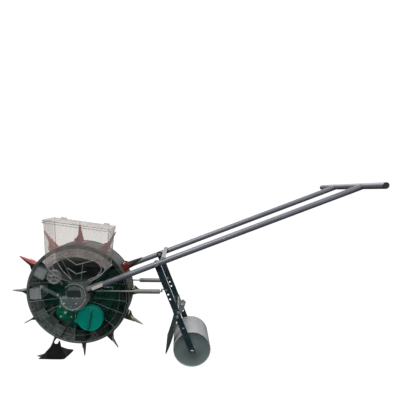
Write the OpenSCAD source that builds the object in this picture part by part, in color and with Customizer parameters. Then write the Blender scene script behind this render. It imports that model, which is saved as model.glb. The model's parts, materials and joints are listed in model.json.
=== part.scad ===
// Push seeder: a rotary drum planter with duck-bill beaks, a side hopper and a trailing press roller.
// The axle of the drum lies along Y, the handle rises towards +X, and the ground is the plane Z = 0.

/* [Drum] */
// Outer radius of the rim
drum_r = 205; // [200:1:206]
// Width of the drum along its axle
drum_w = 110; // [106:1:114]
// Reach of the beak tips from the axle
tip_r = 292.5; // [286:0.5:298]

/* [Handle] */
// Diameter of the handle tubes
tube_d = 22; // [20:0.5:24]
// Distance between the two tubes, centre to centre
tube_gap = 197; // [194:1:202]
// Slope of the handle above the level
handle_angle = 21.64; // [20:0.1:24]
// Length of the handle past the arm pivots
handle_l = 820; // [650:10:950]
// Length of the crossbar
crossbar_l = 453; // [400:1:520]

/* [Rear arms] */
// Length of the arms from their pivot to the roller's axle
arm_l = 386; // [380:0.5:390]
// Width of the arm bars
arm_w = 24; // [24:0.5:28]
// Radius of the spare holes in the arms
spare_hole_r = 4; // [3:0.1:4.5]

/* [Press roller] */
// Radius of the roller
roller_r = 76; // [70:0.5:78]
// Length of the roller
roller_l = 158; // [140:1:160]

/* [Hopper] */
// Depth of the hopper along Y
hopper_depth = 98; // [90:1:102]
// Thickness of the hopper's walls
hopper_wall = 2.5; // [2:0.5:4]

/* [Hidden] */
$fn = 96;

beaks = 12;
run_gap = 0.05;             // radial clearance of every running fit
tube_r = tube_d / 2;
tube_bore = tube_r - 1.7;
tube_y = tube_gap / 2;
half_w = drum_w / 2;

// Everything is drawn from the drum's axle, then moved so that the origin is on the ground mid-length.
pivot = [318.6, 142.2];     // arm pivot, X and Z from the axle
bar_x = pivot[0] + handle_l * cos(handle_angle);
axle_x = (tip_r - bar_x - tube_r) / 2;
axle_z = tip_r;
tube_start = -284.7;        // ends of the tubes, along the handle from the arm pivot
tube_joint = 293;
clamp_end = -236;
brace_s = 33;               // cross brace, along the handle from the arm pivot

// Rim, cups and beaks
rim_t = 4;
ring_in = 158;
cup_in = 152;
cup_out = 198;
cup_half = 21;
pin_x = 215;                // hinge pin of a beak, from the axle and off the beak's middle
pin_z = 15;
pin_r = 2.5;
jaw_half = 13;

// Axle and gears
axle_r = 8;
gear_module = 2.5;
drum_teeth = 44;
meter_teeth = 22;
meter_angle = -125.3;       // direction of the metering shaft from the axle
meter_dist = gear_module * (drum_teeth + meter_teeth) / 2;
meter = [meter_dist * cos(meter_angle), meter_dist * sin(meter_angle)];
meter_shaft_r = 4;

// Side cover and what sits on it
cover_y = -60;              // outer face of the cover
cover_r = 154;
cover_lip = 1.8;            // height of the raised lip round the cover
cap_at = [54, -85.7];
cap_r = 50.8;
knob_at = [-83, 81];
arch_at = [12, 27.3];
arch_r = 38;
neck_z = 66;

// Hopper outline, X and Z from the axle
hop_back = -62;
hop_front = hop_back - hopper_depth;
bin_low_l = [-79.5, 150];
bin_low_r = [143, 147];
bin_top_l = [-78, 313];
bin_top_r = [158, 282.5];
rim_slope = atan2(bin_top_l[1] - bin_top_r[1], bin_top_r[0] - bin_top_l[0]);
rim_l = norm(bin_top_r - bin_top_l);

// Rear arms, from the pivot: X along the handle, Z up the arm
spare_z = [-113.3, -133.6, -154];
spare_x = -4.2;
joint_bolts = [[7, -214], [-2.6, -229]];
low_hole = [2, -283.4];
upper_arm_y = [82.5, 87];
lower_arm_y = [87.5, 92];
rod_y = 76;
rod_r = 3;
rod_z = 26;                 // height of the rods' long straight stretch
rod_start_x = 66;
rod_crank_x = 338;
rod_pin = pivot + [spare_x * cos(handle_angle) - spare_z[0] * sin(handle_angle),
                   spare_x * sin(handle_angle) + spare_z[0] * cos(handle_angle)];
eye_x = [76, 82];
sleeve_x = [231, 331];
sleeve_r = 9;

// ---- helpers ----

// Flat outline in X and Z, thick from y0 to y1
module slab(y0, y1) {
  translate([0, y1, 0])
    rotate([90, 0, 0])
      linear_extrude(y1 - y0)
        children();
}

// Round bar along Y
module bar_y(r, y0, y1) {
  slab(y0, y1)
    circle(r = r);
}

// Tube along Y
module tube_along_y(r_out, r_in, y0, y1) {
  slab(y0, y1)
    difference() {
      circle(r = r_out);
      circle(r = r_in);
    }
}

// Round bar along X
module bar_x_dir(r, x0, x1) {
  translate([x0, 0, 0])
    rotate([0, 90, 0])
      cylinder(r = r, h = x1 - x0);
}

// Hexagon nut or head along Y
module hex_y(r, y0, y1) {
  slab(y0, y1)
    circle(r = r, $fn = 6);
}

module at_axle() {
  translate([axle_x, 0, axle_z])
    children();
}

// Frame at the arm pivot: X runs up the handle, -Z runs down the arm
module at_pivot() {
  at_axle()
    translate([pivot[0], 0, pivot[1]])
      rotate([0, -handle_angle, 0])
        children();
}

// Frame of beak i: X runs out along the beak, Z runs round the rim
module at_beak(i) {
  at_axle()
    rotate([0, -i * 360 / beaks, 0])
      children();
}

module both_sides() {
  children();
  mirror([0, 1, 0])
    children();
}

module xz(p) {
  translate([p[0], 0, p[1]])
    children();
}

// ---- gears ----

// Polar angle that the involute has swept where it reaches radius r
function involute_angle(r_base, r) =
  let (a = acos(min(1, r_base / r))) tan(a) * 180 / PI - a;

// Half the tooth's angle at radius r
function tooth_half(teeth, r_pitch, r) =
  let (r_base = r_pitch * cos(20))
    90 / teeth * 0.94 + involute_angle(r_base, r_pitch) - involute_angle(r_base, max(r, r_base));

module gear_outline(teeth) {
  r_pitch = gear_module * teeth / 2;
  r_root = r_pitch - 1.2 * gear_module;
  r_tip = r_pitch + 0.9 * gear_module;
  radii = [r_root, r_pitch - 0.5 * gear_module, r_pitch, r_pitch + 0.5 * gear_module, r_tip];
  polygon([for (t = [0 : teeth - 1], side = [-1, 1], k = [0 : 4])
    let (r = radii[side < 0 ? k : 4 - k], a = t * 360 / teeth + side * tooth_half(teeth, r_pitch, r))
      [r * cos(a), r * sin(a)]]);
}

// ---- frame ----

module main_axle() {
  color("silver")
    at_axle()
      bar_y(axle_r, -92, 92);
}

module frame_bolts() {
  color("gainsboro") {
    at_axle()
      both_sides()
        difference() {
          hex_y(12, 86.6, 91.5);
          bar_y(axle_r, 86, 92);
        }
    at_pivot()
      both_sides() {
        pivot_bolt();
        brace_bolt();
        joint_screw();
      }
  }
}

// Bolt through a tube that an arm turns on
module pivot_bolt() {
  bar_y(4, 76, tube_y + tube_r + 1);
  hex_y(7, tube_y + tube_r, tube_y + tube_r + 5);
  hex_y(7, 77, 82.3);
}

module brace_bolt() {
  translate([brace_s, tube_y, 0]) {
    translate([0, 0, 14])
      cylinder(r = 6, h = 4, $fn = 6);
    translate([0, 0, 8])
      cylinder(r = 3, h = 7);
  }
}

module joint_screw() {
  translate([tube_joint - 20, 0, 0]) {
    bar_y(2.5, tube_y + 8.5, tube_y + tube_r + 1.5);
    bar_y(4, tube_y + tube_r, tube_y + tube_r + 2);
  }
}

// Flat link from the axle to a tube's clamp, with the eye that a lift rod slides in
module socket_plate() {
  at_axle()
    difference() {
      slab(82.5, 86.5)
        union() {
          circle(r = 15);
          polygon([[-2, 13], [56, 52], [106, 72], [112, 56], [70, 22], [4, -14]]);
        }
      bar_y(axle_r, 80, 90);
    }
  at_axle()
    difference() {
      translate([eye_x[0], 68.5, rod_z - 10])
        cube([eye_x[1] - eye_x[0], 15, 20]);
      translate([0, rod_y, rod_z])
        bar_x_dir(rod_r + 1.2, eye_x[0] - 1, eye_x[1] + 1);
    }
  at_pivot()
    translate([0, tube_y, 0])
      difference() {
        bar_x_dir(tube_r + 4, tube_start, clamp_end);
        bar_x_dir(tube_r, tube_start - 1, clamp_end + 1);
      }
}

module tube_socket() {
  color("gainsboro")
    mirror([0, 1, 0])
      socket_plate();
}

module far_bracket() {
  color("gainsboro") {
    socket_plate();
    at_axle()
      tube_along_y(12, axle_r, 63, 82.5);
  }
}

module lower_tube() {
  at_pivot()
    difference() {
      translate([0, tube_y, 0])
        difference() {
          bar_x_dir(tube_r, tube_start, tube_joint);
          bar_x_dir(tube_bore, tube_start - 1, tube_joint + 1);
        }
      bar_y(4, tube_y - 15, tube_y + 15);
      translate([brace_s, tube_y, 0])
        cylinder(r = 3, h = 20);
      translate([tube_joint - 20, 0, 0])
        bar_y(2.5, tube_y, tube_y + 15);
    }
}

module upper_tube() {
  at_pivot()
    difference() {
      translate([0, tube_y, 0])
        difference() {
          bar_x_dir(tube_r, tube_joint + 0.6, handle_l);
          bar_x_dir(tube_bore, tube_joint, handle_l + 1);
        }
      translate([handle_l, 0, 0])
        bar_y(tube_r, 0, tube_y + 20);
    }
}

module lower_tube_near() {
  color("slategray")
    mirror([0, 1, 0])
      lower_tube();
}

module lower_tube_far() {
  color("slategray")
    lower_tube();
}

module upper_tube_near() {
  color("slategray")
    mirror([0, 1, 0])
      upper_tube();
}

module upper_tube_far() {
  color("slategray")
    upper_tube();
}

// Sleeves inside the tubes that join their two halves
module tube_spigots() {
  color("darkgray")
    at_pivot()
      both_sides()
        difference() {
          translate([0, tube_y, 0])
            difference() {
              bar_x_dir(tube_bore, tube_joint - 60, tube_joint + 60);
              bar_x_dir(tube_bore - 2, tube_joint - 61, tube_joint + 61);
            }
          translate([tube_joint - 20, 0, 0])
            bar_y(2.5, tube_y, tube_y + 15);
        }
}

module crossbar() {
  color("slategray")
    at_pivot()
      translate([handle_l, 0, 0])
        tube_along_y(tube_r, tube_bore, -crossbar_l / 2 + 3, crossbar_l / 2 - 3);
}

module crossbar_plugs() {
  color("black")
    at_pivot()
      translate([handle_l, 0, 0])
        both_sides() {
          bar_y(tube_r, crossbar_l / 2 - 3, crossbar_l / 2);
          bar_y(tube_bore, crossbar_l / 2 - 18, crossbar_l / 2 - 3);
        }
}

module tube_brace() {
  color("lightslategray")
    at_pivot()
      difference() {
        translate([brace_s - 9, -tube_y - 8, tube_r])
          cube([18, tube_gap + 16, 3]);
        for (y = [-tube_y, tube_y])
          translate([brace_s, y, 10])
            cylinder(r = 3, h = 10);
      }
}

// ---- side cover, housing and hopper ----

module side_cover() {
  color([0.75, 0.8, 0.8, 0.4])
    at_axle() {
      difference() {
        union() {
          bar_y(cover_r, cover_y, cover_y + 3);
          xz(knob_at)
            bar_y(12, cover_y - 5, cover_y);
        }
        bar_y(axle_r, -70, -50);
        xz(meter)
          bar_y(12, -70, -50);
        xz(cap_at)
          bar_y(44, -70, -50);
        translate([2, -70, 16])
          cube([20, 20, 26]);
      }
      tube_along_y(cover_r, cover_r - 4, cover_y - cover_lip, cover_y);
      xz(cap_at)
        tube_along_y(47.6, 44, cover_y - 18, cover_y + 3);
      xz(knob_at)
        bar_y(5, cover_y - 24, cover_y - 5);
      cover_ribs();
      slab(cover_y - 3, cover_y + 1)
        translate([97, 20])
          difference() {
            square([44, 18]);
            translate([2.5, 2.5])
              square([39, 13]);
          }
    }
}

// Thin radial ribs on the lower part of the cover
module cover_ribs() {
  difference() {
    for (a = [-172, -152, -97, -42, -22, -6, 22, 42, 132, 150])
      rotate([0, -a, 0])
        translate([64, cover_y - 1.6, -0.8])
          cube([cover_r - 67, 2.2, 1.6]);
    xz(cap_at)
      bar_y(47, -70, -50);
    xz(knob_at)
      bar_y(30, -70, -50);
    xz(meter)
      bar_y(38.5, -70, -50);
  }
}

module housing_outline(inset) {
  translate(arch_at)
    circle(r = arch_r - inset);
  translate([arch_at[0] - arch_r + inset, -16])
    square([2 * (arch_r - inset), 44]);
  translate([-24 + inset, 30])
    square([72 - 2 * inset, neck_z - 30]);
  intersection() {
    translate([-6, 8])
      circle(r = 59.5 - inset);
    translate([-58 + inset, -56])
      square([106 - 2 * inset, 56 - inset]);
  }
}

module hub_housing() {
  wall = 3;
  color([0.75, 0.78, 0.8, 0.5])
    difference() {
      at_axle()
        difference() {
          slab(-95, cover_y)
            housing_outline(0);
          slab(-95 + wall, cover_y - wall)
            housing_outline(wall);
          translate([-6.5, -100, 5.4])
            cube([30.6, 10, 26]);
          translate([-8, -90, neck_z - 8])
            cube([40, 24, 12]);
          translate([2, -70, 16])
            cube([20, 20, 26]);
          bar_y(axle_r, -90, -50);
          xz(meter)
            bar_y(38.5, -70.5, -50);
          slab(-86.8, -82.2)
            polygon([[10, 22], [56, 52], [60, 10], [10, -12]]);
          for (p = [[-42, -21], [5, -22]])
            xz(p)
              bar_y(2, -100, -90);
        }
    }
}

module bin_outline(inset, over) {
  polygon([bin_low_l + [inset, -over], bin_low_r + [-inset, -over],
    bin_top_r + [-inset, over], bin_top_l + [inset, over]]);
}

module hopper_bin() {
  color([0.85, 0.8, 0.82, 0.4])
    at_axle() {
      difference() {
        union() {
          slab(hop_front, hop_back)
            bin_outline(0, 0);
          slab(hop_front - 4, hop_back + 4)
            polygon([bin_top_l + [-4, -13], bin_top_r + [6, -12], bin_top_r + [7, -7 * tan(rim_slope)],
              bin_top_l + [-4, 4 * tan(rim_slope)]]);
        }
        slab(hop_front + hopper_wall, hop_back - hopper_wall)
          bin_outline(hopper_wall, 5);
      }
      at_rim()
        for (x = [30, rim_l - 42])
          lid_ears(x);
    }
}

// Frame on the sloping rim: X runs along the rim, the origin is at its left end
module at_rim() {
  xz(bin_top_l)
    rotate([0, rim_slope, 0])
      children();
}

hinge_y = hop_back + 7;
hinge_z = 3;

// Pair of ears with the pin that a lid knuckle turns on
module lid_ears(x) {
  for (side = [-5, 13])
    translate([x + side, hop_back + 3, -8])
      cube([4, 8, 14]);
  translate([0, hinge_y, hinge_z])
    bar_x_dir(1.5, x - 2, x + 14);
}

module hopper_lid() {
  color([0.85, 0.85, 0.88, 0.4])
    at_axle()
      at_rim() {
        translate([-3, hop_front - 3, 0.4])
          cube([rim_l + 8, hopper_depth + 5, 2.5]);
        translate([rim_l / 2 - 20, hop_front - 10, 0.4])
          cube([40, 8, 2.5]);
        for (x = [30, rim_l - 42])
          translate([x, 0, 0]) {
            difference() {
              union() {
                translate([0, hinge_y, hinge_z])
                  bar_x_dir(3, 0, 12);
                translate([0, hop_back, 0.4])
                  cube([12, 7, 2.5]);
              }
              translate([0, hinge_y, hinge_z])
                bar_x_dir(1.5 + run_gap, -1, 13);
            }
          }
      }
}

module funnel_side(inset) {
  low = neck_z - (inset > 0 ? 1 : 0);
  polygon([bin_low_l + [inset, inset > 0 ? 1 : 0], [-58 + inset, 104], [-24 + inset, low],
    [48 - inset, low], [112 - inset, 98], bin_low_r + [-inset, inset > 0 ? 1 : 0]]);
}

module funnel_front(inset) {
  low = neck_z - (inset > 0 ? 1 : 0);
  polygon([[hop_front + inset, 152], [hop_front + 22 + inset, 104], [-95 + inset, low],
    [hop_back - inset, low], [hop_back - inset, 152]]);
}

// The space where the side outline and the front outline meet
module funnel_block(inset) {
  intersection() {
    slab(-200, 0)
      funnel_side(inset);
    translate([-200, 0, 0])
      rotate([90, 0, 90])
        linear_extrude(400)
          funnel_front(inset);
  }
}

module hopper_funnel() {
  color([0.85, 0.8, 0.82, 0.4])
    at_axle()
      difference() {
        funnel_block(0);
        funnel_block(hopper_wall);
      }
}

// V-shaped ridges on the funnel's back wall that spread the seed
module funnel_guides() {
  color([0.8, 0.8, 0.85, 0.6])
    at_axle()
      slab(hop_back - hopper_wall - 3, hop_back - hopper_wall) {
        polygon([[-52, 168], [3, 130], [80, 151], [80, 148], [3, 126.5], [-52, 164.5]]);
        polygon([[-34, 118], [1, 92.5], [40, 104], [40, 101], [1, 89], [-34, 114.5]]);
      }
}

module cover_brace() {
  color([0.75, 0.8, 0.8, 0.6])
    at_axle()
      translate([-142, 0, 38])
        rotate([0, 27.5, 0])
          difference() {
            union() {
              translate([-4, -71, -6])
                cube([86, 4.8, 12]);
              for (x = [3, 75])
                translate([x, 0, 0])
                  bar_y(6, -67, cover_y - (x < 50 ? cover_lip : 0));
            }
            for (x = [3, 75])
              translate([x, 0, 0])
                bar_y(2, -75, -50);
          }
}

module metering_flange() {
  color("seagreen")
    at_axle()
      xz(meter)
        difference() {
          union() {
            bar_y(38, cover_y - 6, cover_y);
            bar_y(11, cover_y - 9, cover_y);
            bar_y(11.5, cover_y, cover_y + 3);
          }
          bar_y(meter_shaft_r + run_gap, -80, -50);
          for (a = [45 : 90 : 315])
            rotate([0, -a, 0])
              translate([30, 0, 0])
                bar_y(2, -70, -50);
        }
}

module screw_y(y_head, length) {
  bar_y(4, y_head - 2.5, y_head);
  bar_y(2, y_head, y_head + length);
}

module cover_screws() {
  color("gainsboro")
    at_axle() {
      xz(meter)
        for (a = [45 : 90 : 315])
          rotate([0, -a, 0])
            translate([30, 0, 0])
              screw_y(cover_y - 6, 6);
      for (p = [[-42, -21], [5, -22]])
        xz(p)
          screw_y(-95, 3);
      translate([-142, 0, 38])
        rotate([0, 27.5, 0])
          for (x = [3, 75])
            translate([x, 0, 0])
              screw_y(-71, 8);
    }
}

module seed_brush() {
  color("black")
    at_axle()
      xz(meter)
        rotate([0, -60, 0])
          difference() {
            translate([20, -57, -8])
              cube([16, 6.5, 16]);
            bar_y(22.6, -60, -40);
          }
}

// Black shoe low at the front, hung from the cover by two prongs
module front_shoe() {
  color([0.06, 0.06, 0.06])
    translate([axle_x, 0, 0]) {
      translate([0, 0, 1])
        linear_extrude(3)
          polygon([[-205, -9], [-172, -24], [-128, -36], [-98, -30], [-66, 24], [-82, 44], [-126, 50]]);
      slab(-36, -31)
        polygon([[-178, 4], [-136, 46], [-92, 49], [-66, 12], [-80, 2], [-128, 1]]);
      prong(-127, -104);
      prong(-102, -80);
    }
}

module prong(x_low, x_high) {
  hull() {
    translate([x_low - 4, -36, 38])
      cube([9, 5, 4]);
    translate([x_high - 3, -67, 99])
      cube([6, 4, 3]);
  }
  hull() {
    translate([x_high - 3, -67, 99])
      cube([6, 4, 3]);
    translate([x_high * 0.3 - 54, -66, axle_z - 136])
      cube([5, 3, 3]);
  }
}

module clean_out_cap() {
  color("darkcyan")
    at_axle()
      xz(cap_at) {
        tube_along_y(cap_r, 48.1, -86, cover_y - 2.7);
        bar_y(cap_r, -89, -86);
        rotate([0, -79, 0])
          translate([-47, -97, -4.5])
            cube([94, 8.5, 9]);
        difference() {
          slab(-74, cover_y - 2.7)
            polygon([[-68, -19], [-66, -14], [-40, 26], [-10, -46]]);
          bar_y(48.1, -80, -50);
        }
      }
}

module rate_knob() {
  color([0.8, 0.82, 0.85, 0.6])
    at_axle()
      xz(knob_at) {
        tube_along_y(28, 24.5, -80, cover_y - 5.4);
        tube_along_y(9, 5 + run_gap, -80, cover_y - 5.4);
        tube_along_y(25, 8.5, -70, -67);
        for (a = [0 : 72 : 288])
          rotate([0, -a - 18, 0])
            translate([8.5, -79, -1.5])
              cube([16.5, 10, 3]);
      }
}

// ---- drum ----

module drum_rim() {
  color([0.8, 0.82, 0.82, 0.6])
    difference() {
      at_axle() {
        tube_along_y(drum_r, drum_r - rim_t, -half_w, half_w);
        both_sides()
          tube_along_y(drum_r + 2, drum_r - 1, half_w - 4, half_w);
      }
      for (i = [0 : beaks - 1])
        at_beak(i)
          translate([drum_r - 20, -14, -13])
            cube([40, 28, 26]);
    }
}

module drum_near_ring() {
  color([0.6, 0.65, 0.66, 0.5])
    at_axle() {
      tube_along_y(drum_r - rim_t, ring_in, -half_w, -half_w + 3);
      tube_along_y(ring_in + 2.5, ring_in, -half_w + 3, -half_w + 6);
      for (i = [0 : 2 * beaks - 1])
        rotate([0, -i * 180 / beaks - 7.5, 0])
          translate([ring_in + 2, -half_w - 1.5, -1])
            cube([drum_r - rim_t - ring_in - 4, 2, 2]);
    }
}

module drum_far_disc() {
  color([0.05, 0.22, 0.16])
    at_axle() {
      difference() {
        bar_y(drum_r - rim_t, half_w - 4, half_w);
        bar_y(24.2, half_w - 5, half_w + 5);
      }
      tube_along_y(140, 136, half_w - 12, half_w - 4);
      tube_along_y(84, 80, half_w - 12, half_w - 4);
      for (i = [0 : beaks - 1])
        rotate([0, -i * 360 / beaks, 0]) {
          translate([50, half_w - 10, -1.5])
            cube([145, 6, 3]);
          translate([60, half_w, -2])
            cube([132, 2.5, 4]);
        }
      tube_along_y(188, 184, half_w, half_w + 3);
      tube_along_y(62, 57, half_w, half_w + 3);
    }
}

module drum_hub() {
  color("dimgray")
    at_axle()
      difference() {
        union() {
          bar_y(24, 30, 62);
          bar_y(46, half_w - 9, half_w - 4);
        }
        bar_y(13, 20, 70);
        bar_y(17.5, 29, 41);
        bar_y(17.5, 51, 63);
        for (a = [45 : 90 : 315])
          rotate([0, -a, 0])
            translate([36, 0, 0])
              bar_y(3, 40, 55);
      }
}

module drum_bearings() {
  color("silver")
    at_axle() {
      tube_along_y(17.5, axle_r + run_gap, 30, 41);
      tube_along_y(17.5, axle_r + run_gap, 51, 62);
    }
}

module drum_gear() {
  color("darkseagreen")
    at_axle()
      difference() {
        union() {
          rotate([0, -meter_angle, 0])
            slab(-49, -41)
              gear_outline(drum_teeth);
          bar_y(14, -49, 30);
          bar_y(23, 26, 30);
        }
        bar_y(axle_r + 1, -60, 40);
      }
}

module seed_cups() {
  color([0.35, 0.4, 0.4])
    for (i = [0 : beaks - 1])
      at_beak(i)
        difference() {
          translate([cup_in, -half_w + 7, -cup_half])
            cube([cup_out - cup_in, half_w + 10, 2 * cup_half]);
          translate([cup_in - 1, -half_w + 9, -cup_half + 2])
            cube([cup_out - cup_in - 1, half_w + 6, 2 * cup_half - 4]);
          translate([cup_out - 5, -13, -12])
            cube([10, 26, 24]);
        }
}

// Plastic spout through the rim, with two cheeks that carry the hinge pin
module beak_sockets() {
  color("crimson")
    for (i = [0 : beaks - 1])
      at_beak(i)
        difference() {
          union() {
            translate([190, -13, -12])
              cube([19, 26, 24]);
            translate([drum_r + 0.2, -22, -20])
              cube([3, 44, 42]);
            both_sides()
              slab(14.2, 17)
                polygon([[206, -17], [224, -17], [247, -5], [247, 4], [226, 21], [206, 21]]);
          }
          translate([188, -11, -10])
            cube([24, 22, 20]);
          xz([pin_x, pin_z])
            bar_y(pin_r, -30, 30);
        }
}

// Wedge outline of a jaw seen along the axle, on the side z >= gap of the beak's middle
function jaw_profile(x0, gap, root_z, tip_x, tip_z) =
  [[x0, gap], [tip_x, gap], [tip_x, tip_z], [228, root_z], [x0, root_z]];

module jaw_blade(tip_x, gap) {
  difference() {
    intersection() {
      slab(-20, 20)
        polygon(jaw_profile(211, gap, 14, tip_x, 1.6));
      translate([0, 0, -20])
        linear_extrude(40)
          polygon([[211, jaw_half], [228, jaw_half], [tip_x, 2.5],
            [tip_x, -2.5], [228, -jaw_half], [211, -jaw_half]]);
    }
    intersection() {
      slab(-20, 20)
        polygon(jaw_profile(205, gap - 1, 12, tip_x - 16, 2));
      translate([0, 0, -20])
        linear_extrude(40)
          polygon([[205, jaw_half - 2], [226, jaw_half - 2], [tip_x - 14, 2],
            [tip_x - 14, -2], [226, -jaw_half + 2], [205, -jaw_half + 2]]);
    }
  }
}

module fixed_jaws() {
  color([0.12, 0.12, 0.12])
    for (i = [0 : beaks - 1])
      at_beak(i)
        mirror([0, 0, 1])
          jaw_blade(tip_r, 0.4);
}

module moving_jaw(i) {
  color([0.7, 0.7, 0.6])
    at_beak(i)
      difference() {
        union() {
          jaw_blade(tip_r - 1.5, 0.6);
          both_sides()
            xz([pin_x, pin_z])
              bar_y(5, 8, jaw_half);
        }
        translate([205, -8, 12])
          cube([18, 16, 10]);
        xz([pin_x, pin_z])
          bar_y(pin_r + run_gap, -30, 30);
      }
}

module jaw_pins() {
  color("silver")
    for (i = [0 : beaks - 1])
      at_beak(i)
        xz([pin_x, pin_z])
          bar_y(pin_r, -19, 19);
}

// Closing springs, wound on the pins
module jaw_springs() {
  color("gray")
    for (i = [0 : beaks - 1])
      at_beak(i)
        xz([pin_x, pin_z])
          rotate([90, 0, 0])
            rotate_extrude($fn = 32) {
              translate([pin_r + 0.4, -6])
                square([0.6, 12]);
              for (k = [-3 : 3])
                translate([pin_r + 1.2, k * 1.8])
                  circle(r = 0.8, $fn = 14);
            }
}

module rim_screws() {
  color("gainsboro")
    for (i = [0 : beaks - 1])
      at_axle()
        rotate([0, -(i + 0.5) * 360 / beaks, 0])
          translate([193, 0, 0])
            both_sides() {
              bar_y(4, half_w, half_w + 2.5);
            }
}

// ---- metering ----

module metering_roller() {
  color("gold")
    at_axle()
      xz(meter) {
        difference() {
          bar_y(22, -56.5, -50);
          for (a = [0 : 60 : 300])
            rotate([0, -a, 0])
              translate([23, 0, 0])
                bar_y(6, -60, -49);
        }
        bar_y(meter_shaft_r, -73, -38);
      }
}

module metering_gear() {
  color("white")
    at_axle()
      xz(meter)
        difference() {
          rotate([0, -meter_angle - 180 - 180 / meter_teeth, 0])
            slab(-49, -41)
              gear_outline(meter_teeth);
          bar_y(meter_shaft_r, -60, -30);
        }
}

// ---- rear arms, rods and roller ----

module arm_bar(z0, z1) {
  translate([-arm_w / 2, z1])
    square([arm_w, z0 - z1]);
}

module rear_arms() {
  color([0.16, 0.2, 0.24])
    at_pivot()
      both_sides()
        difference() {
          slab(upper_arm_y[0], upper_arm_y[1])
            union() {
              arm_bar(0, -238);
              circle(r = arm_w / 2);
            }
          bar_y(4 + run_gap, 80, 90);
          for (z = spare_z)
            xz([spare_x, z])
              bar_y(spare_hole_r, 80, 90);
          for (p = joint_bolts)
            xz(p)
              bar_y(4, 80, 90);
        }
}

module lower_arms() {
  color([0.16, 0.2, 0.24])
    at_pivot()
      both_sides()
        difference() {
          slab(lower_arm_y[0], lower_arm_y[1])
            union() {
              arm_bar(-202, -arm_l);
              translate([0, -arm_l])
                circle(r = arm_w / 2);
            }
          xz([0, -arm_l])
            bar_y(6, 80, 95);
          xz(low_hole)
            bar_y(spare_hole_r, 80, 95);
          for (p = joint_bolts)
            xz(p)
              bar_y(4, 80, 95);
        }
}

// Bolts of the arm joints and the tie rod between the arms
module arm_bolts() {
  color("gainsboro")
    at_pivot() {
      both_sides()
        for (p = joint_bolts)
          xz(p) {
            bar_y(4, 74, 92);
            hex_y(7, 92, 96);
            hex_y(7, 74, 79);
          }
      xz(joint_bolts[0])
        bar_y(4, -74, 74);
    }
}

blade_top = [400, -60];
blade_bend = 830;

// Turns a blade about its outer edge, so that it gathers the soil towards the row
module toed_in(angle) {
  translate([blade_top[0], -82, 0])
    rotate([0, 0, angle])
      translate([-blade_top[0], 82, 0])
        children();
}

// Curved strip under each arm that pulls the soil back over the seed
module cover_blades() {
  color([0.1, 0.2, 0.16])
    both_sides()
      difference() {
        union() {
          at_axle()
            toed_in(-14)
              intersection() {
                xz([blade_top[0] - 3 - blade_bend * cos(8), blade_top[1] + blade_bend * sin(8)])
                  slab(-82, -18)
                    difference() {
                      circle(r = blade_bend + 1.5, $fn = 360);
                      circle(r = blade_bend - 1.5, $fn = 360);
                    }
                translate([200, 0, 0])
                  rotate([90, 0, 90])
                    linear_extrude(300)
                      polygon([[-82, -66], [-82, -228], [-22, -279], [-18, -270], [-42, -160], [-62, -66]]);
              }
          at_pivot()
            slab(-82.3, -79.3)
              polygon([[-12, -208], [13, -202], [13, -224], [4, -240], [-12, -240]]);
        }
        at_pivot() {
          for (p = joint_bolts)
            xz(p)
              bar_y(4, -90, -70);
          xz(joint_bolts[1])
            bar_y(8.2, -79.2, -60);
        }
      }
}

module roller_axle() {
  color("silver")
    at_pivot()
      xz([0, -arm_l]) {
        bar_y(6, -98, 98);
        both_sides() {
          hex_y(9, 92, 97);
          tube_along_y(10, 6, roller_l / 2 + 1.5, 87.4);
        }
      }
}

module lift_rods() {
  color("silver")
    at_axle()
      both_sides() {
        translate([0, rod_y, rod_z])
          bar_x_dir(rod_r, rod_start_x, rod_crank_x);
        translate([rod_crank_x, rod_y, rod_z])
          sphere(rod_r);
        translate([rod_crank_x, rod_y, rod_z])
          cylinder(r = rod_r, h = rod_pin[1] - rod_z);
        translate([rod_crank_x, rod_y, rod_pin[1]])
          sphere(rod_r);
        translate([0, rod_y, rod_pin[1]])
          bar_x_dir(rod_r, rod_crank_x, rod_pin[0]);
        xz(rod_pin)
          bar_y(spare_hole_r - run_gap, rod_y - 5, 90);
      }
}

module rod_sleeves() {
  color([0.75, 0.75, 0.7])
    at_axle()
      both_sides()
        translate([0, rod_y, rod_z])
          difference() {
            bar_x_dir(sleeve_r, sleeve_x[0], sleeve_x[1]);
            bar_x_dir(rod_r, sleeve_x[0] - 1, sleeve_x[1] + 1);
          }
}

module roller_shell() {
  color("darkgray")
    at_pivot()
      xz([0, -arm_l])
        difference() {
          bar_y(roller_r, -roller_l / 2, roller_l / 2);
          bar_y(roller_r - 3, -roller_l / 2 - 1, roller_l / 2 + 1);
        }
}

module roller_ends() {
  color("gray")
    at_pivot()
      xz([0, -arm_l])
        both_sides()
          difference() {
            union() {
              bar_y(roller_r - 3, roller_l / 2 - 6, roller_l / 2 - 3);
              bar_y(17, roller_l / 2 - 20, roller_l / 2 + 1);
            }
            bar_y(6 + run_gap, 40, 100);
          }
}

main_axle();
frame_bolts();
tube_socket();
far_bracket();
lower_tube_near();
lower_tube_far();
upper_tube_near();
upper_tube_far();
tube_spigots();
crossbar();
crossbar_plugs();
tube_brace();
side_cover();
hub_housing();
hopper_bin();
hopper_funnel();
funnel_guides();
cover_brace();
metering_flange();
cover_screws();
seed_brush();
front_shoe();
hopper_lid();
clean_out_cap();
rate_knob();
drum_rim();
drum_near_ring();
drum_far_disc();
drum_hub();
drum_bearings();
drum_gear();
seed_cups();
beak_sockets();
fixed_jaws();
jaw_pins();
jaw_springs();
rim_screws();
moving_jaw(0);  // moving_jaw_01
moving_jaw(1);  // moving_jaw_02
moving_jaw(2);  // moving_jaw_03
moving_jaw(3);  // moving_jaw_04
moving_jaw(4);  // moving_jaw_05
moving_jaw(5);  // moving_jaw_06
moving_jaw(6);  // moving_jaw_07
moving_jaw(7);  // moving_jaw_08
moving_jaw(8);  // moving_jaw_09
moving_jaw(9);  // moving_jaw_10
moving_jaw(10);  // moving_jaw_11
moving_jaw(11);  // moving_jaw_12
metering_roller();
metering_gear();
rear_arms();
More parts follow.
